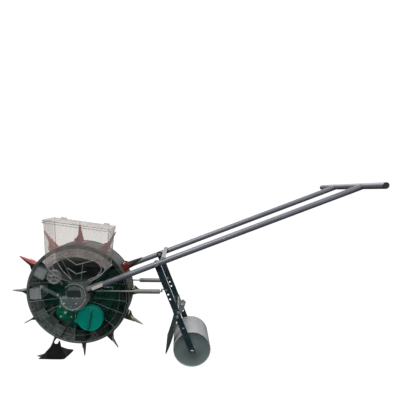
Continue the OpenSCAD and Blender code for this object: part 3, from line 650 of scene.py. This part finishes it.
def rounded_corners(x0, x1, y0, y1, radius, per_corner=6):
    """The (x, y) points of a rectangle with rounded corners."""
    points = []
    for cx, cy, start in ((x1 - radius, y0 + radius, -90), (x1 - radius, y1 - radius, 0),
                          (x0 + radius, y1 - radius, 90), (x0 + radius, y0 + radius, 180)):
        for k in range(per_corner + 1):
            dx, dy = polar(radius, start + 90 * k / per_corner)
            points.append((cx + dx, cy + dy))
    return points


def rounded_ring(x0, x1, y0, y1, z0, z1, radius):
    """Rounded rectangle in plan, whose height runs from z0 at its left side to z1 at its right side."""
    return [at(x, y, z0 + (z1 - z0) * (x - x0) / (x1 - x0)) for x, y in rounded_corners(x0, x1, y0, y1, radius)]


BIN_LOW = (-79.5, 143.0, 150.0, 147.0)    # left x, right x, left z, right z
BIN_TOP = (-78.0, 158.0, 313.0, 282.5)
BIN_FRONT, BIN_BACK = -160.0, -62.0
BIN_RIM = (Matrix.Translation(at(BIN_TOP[0], 0, BIN_TOP[2]))
           @ Matrix.Rotation(math.atan2(BIN_TOP[2] - BIN_TOP[3], BIN_TOP[1] - BIN_TOP[0]), 4, "Y"))
RIM_LENGTH = math.hypot(BIN_TOP[1] - BIN_TOP[0], BIN_TOP[2] - BIN_TOP[3])
HINGES = (30, RIM_LENGTH - 42)            # where the lid's two hinges start along the rim
HINGE_Y, HINGE_Z = -55, 3
WALL = 2.4                                # of the bin and the funnel


def bin_ring(t, out):
    x0, x1, z0, z1 = (a + (b - a) * t for a, b in zip(BIN_LOW, BIN_TOP))
    return rounded_ring(x0 - out, x1 + out, BIN_FRONT - out, BIN_BACK + out, z0, z1, max(1.5, 11 + out))


def make_bin():
    """Walls and rim band of the bin, as rings up its outside and down its inside."""
    steps = [(0.0, 0), (0.02, 0), (0.3, 0), (0.62, 0), (0.86, 0), (0.865, 0.9), (0.915, 0.9), (0.922, 3.4),
             (0.985, 3.8), (1.0, 3.2), (1.0, -WALL + 0.6), (0.985, -WALL), (0.9, -WALL), (0.89, -WALL - 0.8),
             (0.85, -WALL - 0.8), (0.84, -WALL), (0.5, -WALL), (0.0, -WALL)]
    bm = bmesh.new()
    loft(bm, [bin_ring(t, out) for t, out in steps], loop_around=True)
    dress(mesh_object("seed_bin", bm, 50), "frame", "clear_plastic", "bin_clear", "hopper_bin")


def hinge_ring(x, radius, steps):
    """Circle round the lid's hinge line at x along the rim."""
    return [BIN_RIM @ Vector((x * MM, (HINGE_Y + dy) * MM, (HINGE_Z + dz) * MM))
            for dy, dz in (polar(radius, 360 * k / steps) for k in range(steps))]


def make_bin_details():
    """Hinge ears, level marks and hinge pins of the bin."""
    bm = bmesh.new()
    for hinge in HINGES:
        for x in (hinge - 5, hinge + 13):
            box_mm(bm, (x, -58.3, -8), (x + 4, -51, 6), BIN_RIM)
    for k in range(5):
        z = 190 + 20 * k
        box_mesh(bm, at(118, -160.5, z), at(118 + (16 if k % 2 else 10), -159.8, z + 0.9))
    piece = add_bevel(mesh_object("bin_ears_and_marks", bm), 0.3)
    dress(piece, "frame", "clear_plastic", "clear_plastic")
    pins = bmesh.new()
    for x in HINGES:
        loft(pins, [hinge_ring(x + dx, 1.5, 16) for dx in (-4.5, 16.5)])
    dress(mesh_object("lid_hinge_pins", pins), "frame", "bright_steel", "clear_grey")


# Funnel at nine heights: (z, x) of its left and right walls, and y of its front
FUNNEL_LEFT = [(150.0, -79.5), (140, -77.5), (128, -71.5), (116, -64), (104, -56.5), (92, -46), (80, -34.5), (70, -26),
               (66, -24.0)]
FUNNEL_RIGHT = [(147.0, 143.0), (138, 141), (126, 135), (112, 123.5), (100, 111.5), (90, 98), (80, 80), (70, 57),
                (66, 48.0)]
FUNNEL_FRONT = [-160.0, -157, -151, -144, -136.5, -127, -114, -99, -95.0]


def make_funnel():
    """Funnel under the bin, as rings down its outside and up its inside."""
    def ring(k, out):
        (zl, xl), (zr, xr) = FUNNEL_LEFT[k], FUNNEL_RIGHT[k]
        return rounded_ring(xl - out, xr + out, FUNNEL_FRONT[k] - out, BIN_BACK + out, zl, zr,
                            max(2, 11 - 5 * k / 8 + out))

    bm = bmesh.new()
    loft(bm, [ring(k, 0) for k in range(9)] + [ring(k, -WALL) for k in range(8, -1, -1)], loop_around=True)
    dress(mesh_object("seed_funnel", bm, 60), "frame", "clear_plastic", "funnel_clear", "hopper_funnel")


def make_hopper_edges():
    """Thick moulded edges of the bin and the funnel, and the bead round the seed window."""
    runs = []
    for ends, slant in ((FUNNEL_LEFT, 3), (FUNNEL_RIGHT, -3)):
        runs.append([(x + slant, y + 3, z) for (z, x), y in zip(ends, FUNNEL_FRONT)])
        runs.append([(x + slant, -64.5, z) for z, x in ends])
    beads("funnel_edges", runs, 1.5, "clear_line")
    lines = [[(-55, 147), (-38, 110), (-21, 71)], [(26, 131), (17, 65)],
             [(-98, 139), (-110, 120), (-104, 96), (-86, 80)]]
    beads("funnel_inner_lines", flat(lines, -63), 0.8, "clear_line")
    window = [[(-98, 139), (-86, 148), (-56, 155.5), (-7, 162), (41, 152.5), (84, 136), (99, 110), (85, 88), (49, 51)],
              [(-96, 136), (-87, 101), (-58, 46)]]
    beads("seed_window_bead", flat(window, -63), 1.5, "clear_line", "smoky_plastic")
    left, right = BIN_TOP[0], BIN_TOP[1]
    left_z, right_z = BIN_TOP[2], BIN_TOP[3]
    corners = [[(x_low + slant, y, z_low), (x_top + slant, y, z_top - 2)]
               for x_low, z_low, x_top, z_top, slant in ((BIN_LOW[0], BIN_LOW[2], left, left_z, 3),
                                                         (BIN_LOW[1], BIN_LOW[3], right, right_z, -3))
               for y in (BIN_FRONT + 2.5, BIN_BACK - 2.5)]
    beads("bin_corner_ribs", corners, 1.1, "clear_grey")
    rim = [[(left - 2, y, left_z - 1.5), (right + 2, y, right_z - 1.5)] for y in (BIN_FRONT - 2.6, BIN_BACK + 2.6)]
    beads("bin_rim_bead", rim, 1.2, "clear_grey")
    lip = [[(left - 3, BIN_FRONT - 3, left_z - 9), (right + 3, BIN_FRONT - 3, right_z - 9)],
           [(left - 3, BIN_FRONT, left_z - 9), (left - 3, BIN_BACK, left_z - 9)]]
    beads("bin_lip_bead", lip, 1.0, "clear_grey")


def make_guides():
    """The two V-shaped guides in the funnel."""
    bm = bmesh.new()
    for points in (((-52, 166), (3, 128), (80, 149.5)), ((-34, 116), (1, 91), (40, 102.5))):
        for a, b in zip(map(Vector, points), map(Vector, points[1:])):
            across = (b - a).orthogonal().normalized() * 1.2
            prism(bm, [a - across, b - across, b + across, a + across], -67.4, -64.6)
    piece = add_bevel(mesh_object("funnel_v_guides", bm), 0.5)
    dress(piece, "frame", "clear_plastic", "clear_line", "funnel_guides")


def make_lid():
    """Lid with a raised panel, a finger tab and two hinge knuckles."""
    bm = bmesh.new()
    for x0, x1, y0, y1, z0, z1, radius in ((-3, RIM_LENGTH + 5, -163, -60, 0.4, 1.7, 11),
                                           (6, RIM_LENGTH - 4, -154, -69, 1.7, 2.6, 8),
                                           (RIM_LENGTH / 2 - 20, RIM_LENGTH / 2 + 20, -170, -162, 0.4, 2.4, 3)):
        loft(bm, [[BIN_RIM @ (Vector((x, y, z)) * MM) for x, y in rounded_corners(x0, x1, y0, y1, radius)]
                  for z in (z0, z1)])
    for x in HINGES:
        loft(bm, [hinge_ring(x + dx, r, 20) for r, dx in ((1.55, 0), (3, 0), (3, 12), (1.55, 12))], loop_around=True)
        box_mm(bm, (x, -62.5, 0.5), (x + 12, -57.2, 2.8), BIN_RIM)
    dress(add_bevel(mesh_object("clear_lid", bm), 0.35), "lid", "clear_plastic", "clear_plastic", "hopper_lid")


# ---------------------------------------------------------------- side cover and its fittings

CAP = at(54, 0, -85.7)
METER = turned(AXLE, -125.3) @ Vector((82.5 * MM, 0, 0))

def make_cover_details():
    """The pale arch over the top of the drum's near ring, its paleness painted light from above; short white beads on
    it for painted glints; thin ribs drawn bright for painted highlights; and the rings of the side cover.
    """
    bm = bmesh.new()
    # A pale band over the top of the near ring only: painted light from above on the ring's top.
    loft(bm, [[at(c * r, y, s * r) for r, y in ((158, -61.6), (190, -61.6), (191.5, -60.4), (156.5, -60.4))]
              for c, s in (polar(1, 42 + 92 * k / 48) for k in range(49))])
    dress(mesh_object("cover_arch", bm), "frame", "smoky_plastic", "arch_clear")
    # Short white beads along the arch: painted glints.
    glints = [[(x - half, -62.4, z - lean), (x + half, -62.4, z + lean)] for x, z, half, lean in (
        (-93, 163, 4, 3), (-69, 169, 4, 1), (-38, 171, 6, 1), (-14, 177, 3, 1), (35, 183, 5, 0), (56, 176, 5, -1),
        (79, 164, 3, -2), (99, 151, 3, -3))]
    beads("cover_arch_glints", glints, 1.3, "clamp_white", "smoky_plastic")
    # Some of the side cover's ribs drawn in bright clear: painted highlights where light catches them.
    ribs = [[polar(inner, angle), polar(196, angle)] for angle, inner in (
        (-172, 66), (-152, 66), (-97, 126), (-42, 132), (-22, 66), (-6, 66), (22, 120), (42, 150), (132, 152),
        (150, 104))]
    beads("cover_ribs_lit", flat(ribs, -61.9), 0.7, "clear_bright", "smoky_plastic")
    outer, inner = ([polar(r, 6 * k) for k in range(61)] for r in (196.5, 168))
    beads("cover_rings", flat([outer], -61.2), 0.9, "clear_grey", "smoky_plastic")
    beads("cover_inner_ring", flat([[p for p in inner if p[1] < 60]], -61.2), 0.6, "clear_grey", "smoky_plastic")
    box = [(97, 20), (141, 20), (141, 38), (97, 38), (97, 20)]
    beads("cover_loop_frame", flat(zip(box, box[1:]), -63.2), 0.8, "clear_line", "smoky_plastic")


def make_housing_details():
    """Bright beads along the edges of the hub housing and round its arched window, painted highlights on real edges,
    with a black bead for a painted shadow under the upper edge and a thin dark sheet behind the window for painted
    shade inside.
    """
    # Bright beads on the housing's edges and window: painted highlights on real edges.
    edges = [[(-35, 43), (-19, 55), (4, 60), (27, 51.5), (40, 33), (44, 11)]]
    lobe = [[(-57, 10), (-50, -18), (-36, -36), (-14, -46), (10, -40), (28, -24), (44, 0)]]
    beads("housing_edges", flat(edges, -95.6) + flat(lobe, -95.4), 1.2, "clear_line")
    window = [[(-30, 30), (-30, 6), (-20, 2), (16, 2), (26, 7), (26, 30)],
              [(-26, 33), (-10, 42), (6, 44), (22, 40), (30, 30)]]
    beads("housing_window_edge", flat(window, -95.6), 0.8, "clear_bright")
    # A black bead under the housing's upper edge: painted shadow.
    shade = [[(-33, 40), (-18, 51.5), (4, 56.5), (25, 48.5), (37, 32)]]
    beads("housing_shadow_line", flat(shade, -95.2), 1.0, "black_plastic")
    bm = bmesh.new()
    # A thin dark sheet behind the window: painted shade of the housing's inside.
    prism(bm, [(-27, 6), (24, 6), (26, 12), (26, 28), (20, 33), (-24, 33), (-29, 27), (-29, 12)], -95.3, -95.1)
    dress(mesh_object("housing_window", bm), "frame", "clear_plastic", "window_dark")


def make_cap():
    """Teal clean-out cap: a cup with a rim and 40 side ribs, a locking lug and a bar grip in darker teal, painted shade
    on the bar.
    """
    bm = bmesh.new()
    lathe(bm, [(48.2, -62.7), (50.8, -62.7), (50.8, -64.5), (50.0, -65.5), (50.0, -84), (50.8, -85.2), (50.8, -87.4),
               (49.8, -88.6), (47.5, -88.9), (46.5, -87.6), (44.5, -87.4), (0.5, -87.0), (0.5, -84.6), (46, -84.8),
               (48.2, -83.5)], CAP)
    bmesh.ops.remove_doubles(bm, verts=bm.verts, dist=1e-6)
    prism(bm, [(-68, -19), (-66.5, -14.5), (-52, 6), (-44.5, 22), (-25, -43), (-45, -30)], -73, -63.5, CAP)
    for k in range(40):
        box_mm(bm, (49.8, -83.5, -0.8), (50.7, -66.5, 0.8), turned(CAP, 9 * k))
    piece = add_bevel(mesh_object("cap_shell", bm, 40), 0.5)
    dress(piece, "cap", "cap_teal", "cap_teal", "clean_out_cap")
    grip = bmesh.new()
    rings = []
    for k in range(21):
        bulge = math.sin(math.pi * k / 20) ** 0.35
        height = 1.2 + 7.4 * bulge
        half = 4.2 * (0.75 + 0.25 * bulge)
        ring = [(-1, 0), (-0.92, 0.7), (-0.5, 1), (0.5, 1), (0.92, 0.7), (1, 0)]
        rings.append([turned(CAP, 79) @ (Vector((4.6 * k - 46, -87.2 - height * h, half * w)) * MM) for w, h in ring])
    loft(grip, rings)
    # The grip in the darker teal: painted shade.
    dress(mesh_object("cap_grip", grip, 50), "cap", "cap_teal", "cap_grip")


def make_painted_cap_reflection():
    """Pale crescent on the side cover beside the cap: a painted reflection of light off the cap's side wall."""
    # White beads in an arc at the cap's left: painted reflection.
    arc = [(54 + x, -85.7 + z) for x, z in (polar(65.3, a) for a in range(144, 187, 6))]
    beads("cap_seat_edge", flat([arc], -62.3), 1.1, "clamp_white", "smoky_plastic")


def make_knob():
    """Clear rate knob with a ribbed rim, a hub, a web and five spokes."""
    centre = at(-83, 0, 81)
    bm = bmesh.new()
    outer, inner = [], []
    for y, r_in, r_out in ((-65.4, 24.6, 27.2), (-66.2, 24.4, 27.8), (-79.2, 24.4, 27.8), (-80, 24.8, 27.0)):
        ribbed = (polar(r_out + 0.35 * polar(1, 30 * a)[0] - 0.2, a) for a in range(0, 360, 3))
        outer.append([at(x, y, z, centre) for x, z in ribbed])
        inner.append([at(x, y, z, centre) for x, z in (polar(r_in, a) for a in range(0, 360, 3))])
    loft(bm, outer + inner[::-1], loop_around=True)
    lathe(bm, [(5.1, -80), (8.4, -80), (9, -79.2), (9, -65.4), (5.1, -65.4)], centre, 40)
    lathe(bm, [(8.8, -70), (24.6, -70), (24.6, -67), (8.8, -67)], centre, 64)
    for k in range(5):
        box_mm(bm, (8.7, -79, -1.4), (24.7, -69.5, 1.4), turned(centre, 72 * k + 18))
    piece = add_bevel(mesh_object("rate_knob_ribbed", bm, 40), 0.35)
    dress(piece, "knob", "clear_plastic", "clear_bright", "rate_knob")


def make_flange_details():
    """Metering flange with a raised ring, ribs and a centre nut."""
    bm = bmesh.new()
    lathe(bm, [(4.06, -69), (10.2, -69), (11, -68.2), (11, -66.8), (13, -66.4), (22, -66.2), (22.5, -67.2),
               (24.2, -67.2), (24.7, -66.2), (36.6, -66), (38, -65), (38, -60.2), (11.5, -60), (11.5, -57.1),
               (4.06, -57.1)], METER)
    for k in range(8):
        box_mm(bm, (12.5, -67.2, -0.8), (21.5, -66, 0.8), turned(METER, 45 * k))
    dress(mesh_object("metering_flange_turned", bm, 40), "frame", "flange_green", "flange_green", "metering_flange")


def screw_head(bm, centre, y_face, towards=-1, radius=4.0):
    """Domed screw head that stands on a face at y_face."""
    profile = [(0.0, 2.4), (0.45, 2.3), (0.8, 1.6), (1, 0.6), (1, 0.0)]
    rows = lathe(bm, [(r * radius, y_face + towards * h) for r, h in profile], centre, 20, closed=False)
    bm.faces.new([row[-1] for row in rows])


def make_screws():
    """Screw heads on the flange, the hub housing and the brace, and round both sides of the rim."""
    cover, rim = bmesh.new(), bmesh.new()
    for angle in (45, 135, 225, 315):
        x, z = polar(30, angle)
        screw_head(cover, at(x, 0, z, METER), -66)
    for x, z in ((-42, -21), (5, -22)):
        screw_head(cover, at(x, 0, z), -95)
    for x in (3, 75):
        screw_head(cover, turned(at(-142, 0, 38), -27.5) @ Vector((x * MM, 0, 0)), -71)
    for i in range(BEAKS):
        x, z = polar(193, 360 * (i + 0.5) / BEAKS)
        for y, towards in ((-55, -1), (55, 1)):
            screw_head(rim, at(x, 0, z), y, towards)
    for bm in (cover, rim):
        bmesh.ops.remove_doubles(bm, verts=bm.verts, dist=1e-6)
    dress(mesh_object("cover_screw_heads", cover), "frame", "zinc", "zinc", "cover_screws")
    dress(mesh_object("rim_screw_heads", rim), "drum", "zinc", "beak_black", "rim_screws")


def make_brush():
    """Seed brush: a backing strip with bristles that point at the metering roller."""
    turn = turned(METER, 60)
    rng = random.Random(4)
    bm = bmesh.new()
    box_mm(bm, (30, -57, -8), (36, -50.5, 8), turn)
    for _ in range(90):
        y = -0.0565 + 0.0055 * rng.random()
        z = -0.0075 + 0.015 * rng.random()
        lean = (rng.random() - 0.5) * 0.001
        bristle = ((0.0305, y, z), (0.0270, y, z + lean * 0.4), (0.0232, y, z + lean))
        wire(bm, [turn @ Vector(p) for p in bristle], 0.18, 4)
    dress(mesh_object("seed_brush_bristles", bm), "frame", "bristle", "bristle", "seed_brush")


# ---------------------------------------------------------------- drum

def make_rim_details():
    """Cast ribs across the rim band between the beaks, and a bead along its near edge."""
    bm = bmesh.new()
    for k in range(BEAKS * 2):
        box_mm(bm, (204.6, -50.8, -1.2), (206.4, 50.8, 1.2), turned(AXLE, 15 * k + 7.5))
    dress(mesh_object("rim_cross_ribs", bm), "drum", "smoky_plastic", "rim_clear")
    ring = [polar(204.6, 5 * k) for k in range(73)]
    beads("rim_edge_bead", flat([ring], -51.2), 0.8, "clear_grey", "smoky_plastic", "drum")


def make_cups():
    """Seed cups: the two beside the hopper are clean and clear, the next two are dusty, the rest dark."""
    for name, chosen, material in (("clean_seed_cups", (5, 6), "cup_clear"), ("dusty_seed_cups", (7, 8), "cup_mid"),
                                   ("dark_seed_cups", (0, 1, 2, 3, 4, 9, 10, 11), "cup_plastic")):
        def keep(point):
            turn = math.degrees(math.atan2(point.z - AXLE.z, point.x - AXLE.x)) * BEAKS / 360
            return round(turn) % BEAKS in chosen
        dress(softened("seed_cups", keep=keep, name=name), "drum", "cup_plastic", material, "seed_cups")


def make_bearings():
    """Two ball bearings, each of an inner ring, an outer ring and nine balls."""
    balls, rings = bmesh.new(), bmesh.new()
    for y0, y1 in ((30, 41), (51, 62)):
        mid = (y0 + y1) / 2
        lathe(rings, [(8.05, y0), (11, y0), (11, mid - 2), (10.2, mid), (11, mid + 2), (11, y1), (8.05, y1)], AXLE, 48)
        lathe(rings, [(14.6, y0), (17.4, y0), (17.4, y1), (14.6, y1), (14.6, mid + 2), (15.3, mid), (14.6, mid - 2)],
              AXLE, 48)
        for k in range(9):
            x, z = polar(12.75, 40 * k)
            bmesh.ops.create_icosphere(balls, subdivisions=2, radius=2.4 * MM, matrix=Matrix.Translation(at(x, mid, z)))
    dress(mesh_object("bearing_rings", rings), "drum", "bright_steel", "bright_steel", "drum_bearings")
    dress(mesh_object("bearing_balls", balls, 80), "drum", "bright_steel", "bright_steel")


# ---------------------------------------------------------------- roller

def make_roller():
    """Rolled shell and two dished end discs."""
    shell, ends = bmesh.new(), bmesh.new()
    lathe(shell, [(73.0, -79), (75.0, -79), (75.8, -78.2), (76.0, -77), (76.0, 77), (75.8, 78.2), (75.0, 79),
                  (73.0, 79)], ROLLER, 128)
    dress(mesh_object("rolled_shell", shell, 30), "roller", "roller_grey", "roller_grey", "roller_shell")
    profile = [(6.06, 80), (15.6, 80), (17, 79), (17.4, 76.5), (20, 76), (34, 75.4), (37, 74.4), (60, 74.4),
               (63, 75.4), (70.5, 76.0), (72.9, 77.2), (72.9, 73), (62, 72), (20, 72), (17, 59), (6.06, 59)]
    for side in (-1, 1):
        lathe(ends, [(r, side * y) for r, y in profile], ROLLER, 128)
    dress(mesh_object("roller_end_discs", ends, 30), "roller", "roller_disc", "roller_disc", "roller_ends")


# ---------------------------------------------------------------- shoe, clamp and bracket

def make_shoe():
    """Black shoe: a share plate on the ground in lighter black for painted light, an upright with two prongs, lighter
    sheets on its near face for painted light on its faces, and clear straps up to the side cover.
    """
    share, upright, faces, straps = (bmesh.new() for _ in range(4))
    rim = [(-205, -9), (-172, -24), (-128, -36), (-98, -30), (-66, 24), (-82, 44), (-126, 50)]
    loft(share, [[Vector((AXLE.x + (-125 + (x + 125) * inset) * MM, (8 + (y - 8) * inset) * MM, z * MM))
                  for x, y in rim] for z, inset in ((1.0, 0.97), (2.2, 1.0), (3.4, 0.97))])
    dress(add_bevel(mesh_object("shoe_share", share), 0.6), "frame", "black_steel", "shoe_grey", "front_shoe")
    prism(upright, [(-186, -289.5), (-166, -272), (-150, -254), (-136, -239), (-124, -225), (-119, -207),
                    (-115.5, -206), (-113.5, -221), (-102, -221), (-94.5, -207.5), (-90.5, -207.5), (-87, -234),
                    (-62, -243), (-38, -246), (-35, -250), (-50, -266), (-76, -289.5), (-92, -291), (-130, -291)],
          -36, -31)
    dress(add_bevel(mesh_object("shoe_upright", upright), 1.6, 3), "frame", "black_steel", "shoe_black")
    # Thin lighter sheets on the upright's near face: painted light where its faces catch the light.
    prism(faces, [(-184, -289), (-165, -272.5), (-151, -256), (-146, -268), (-150, -289.5)], -36.4, -35.8)
    prism(faces, [(-84, -237), (-62, -244), (-40, -247), (-51, -264), (-66, -277)], -36.4, -35.8)
    dress(mesh_object("shoe_side_faces", faces), "frame", "black_steel", "shoe_grey")
    for foot, top in ((-117, -88), (-92.5, -80)):
        path = ((foot, -35, -214), (foot + 3, -45, -204), (foot + 8, -62, -192), (top, -64.5, -138))
        loft(straps, [[at(x + dx, y + dy, z) for dx, dy in ((-2.2, -0.7), (2.2, -0.7), (2.2, 0.7), (-2.2, 0.7))]
                      for x, y, z in path])
    dress(mesh_object("shoe_straps", straps), "frame", "clear_plastic", "clear_plastic")


def handle_point(x, y, z):
    """A point in millimetres in the handle's frame: X up the near tube from its pivot, Z square to it."""
    c, s = math.cos(HANDLE_ANGLE), math.sin(HANDLE_ANGLE)
    return at(PIVOT[0] + x * c - z * s, y, PIVOT[1] + x * s + z * c)


def make_clamp():
    """Near clamp: a pale plate on the tube, a clear sleeve round its end, and a black half shell under the sleeve for
    painted shade on its underside.
    """
    plate, web, sleeve, underside_shade = (bmesh.new() for _ in range(4))
    prism(plate, [(74, 39.5), (112, 55), (115, 57.5), (115, 68), (112.5, 70.5), (74.5, 52.5), (73, 50)],
          -113.5, -111.5)
    dress(add_bevel(mesh_object("clamp_plate", plate), 0.8, 3), "frame", "zinc", "clamp_white", "tube_socket")
    disc = [polar(15, a) for a in range(110, 315, 12)]
    prism(web, disc + [(70, 22), (112, 56), (106, 66), (56, 46)], -85.5, -83)
    dress(add_bevel(mesh_object("clamp_web", web), 0.5), "frame", "zinc", "clear_plastic", "tube_socket")
    low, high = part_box("lower_tube_near")
    x0 = ((low.x - AXLE.x) / MM - PIVOT[0]) / math.cos(HANDLE_ANGLE) + 3
    tube_y = (low.y + high.y) / 2 / MM

    def ring(x, radius, angles):
        return [handle_point(x0 + x, tube_y + across, up) for across, up in (polar(radius, a) for a in angles)]

    around = range(0, 360, 9)
    loft(sleeve, [ring(x, radius, around) for radius, x in (
        (13.0, 0), (13.7, 1), (13.7, 62), (13.0, 63), (12.75, 63), (12.75, 0))], loop_around=True)
    dress(mesh_object("clamp_sleeve", sleeve), "frame", "zinc", "clear_plastic", "tube_socket")
    # Black half shell round the sleeve's underside: painted shade under the tube.
    loft(underside_shade, zip(*(ring(x, radius, range(190, 351, 10)) for radius, x in (
        (13.75, 2), (14.4, 3), (14.4, 60), (13.75, 61)))))
    dress(mesh_object("clamp_saddle", underside_shade), "frame", "zinc", "black_plastic", "tube_socket")


def make_bracket():
    """Bright folded bracket and wing nut between the arms, by their joint."""
    bm = bmesh.new()
    prism(bm, [(399, -55), (411, -40), (417, -68), (414, -86), (407, -73)], -8.5, -6)
    prism(bm, [(411, -40), (424, -31), (436, -43), (428, -70), (416, -98), (413, -84), (416, -68)], -5.5, -3)
    lathe(bm, [(0.5, -14), (5, -14), (6.5, -12.5), (7.5, -5.6), (7.5, 4), (5, 6), (0.5, 6)], at(420, 0, -55), 24)
    dress(add_bevel(mesh_object("joint_wing_bracket", bm), 0.6), "arms", "zinc", "zinc_green")


# ---------------------------------------------------------------- everything else

# Material and edge radius in millimetres of the nodes that differ from their slot and from 0.5
LOOK = {"hub_housing": "housing_clear", "cover_brace": "housing_clear", "drum_rim": "rim_clear",
        "cover_blades": "blade_green", "tube_brace": "zinc_pale", "rod_sleeves": "sleeve_grey",
        "far_bracket": "zinc_pale", "drum_gear": "gear_grey"}
EDGE_MM = {"drum_gear": 0.25, "metering_gear": 0.25, "hub_housing": 1.4, "drum_rim": 0.6, "far_bracket": 0.8,
           "crossbar_plugs": 0.8}


def make_remaining():
    """Every other node, with its edges rounded."""
    for node in frame["nodes"]:
        if node not in DRESSED:
            slot = NODE_SLOT[node]
            dress(softened(node, EDGE_MM.get(node, 0.5)), NODE_BODY[node], slot, LOOK.get(node, slot), node)


make_camera()
make_light()
make_floor()
make_materials()
for obj in frame["nodes"].values():
    for index in range(len(obj.material_slots)):
        obj.material_slots[index].material = MATERIALS[NODE_SLOT[obj.name]] if obj.name in NODE_SLOT else None
for make in (make_fixed_jaws, make_moving_jaws, make_sockets, make_springs, make_pins, make_bin,
             make_bin_details, make_funnel, make_hopper_edges, make_cover_details, make_housing_details,
             make_bracket, make_guides, make_lid, make_cap, make_painted_cap_reflection, make_knob, make_flange_details,
             make_screws, make_brush, make_rim_details, make_cups, make_bearings, make_roller, make_shoe,
             make_clamp, make_remaining):
    make()
bpy.context.scene.view_settings.view_transform = "Standard"
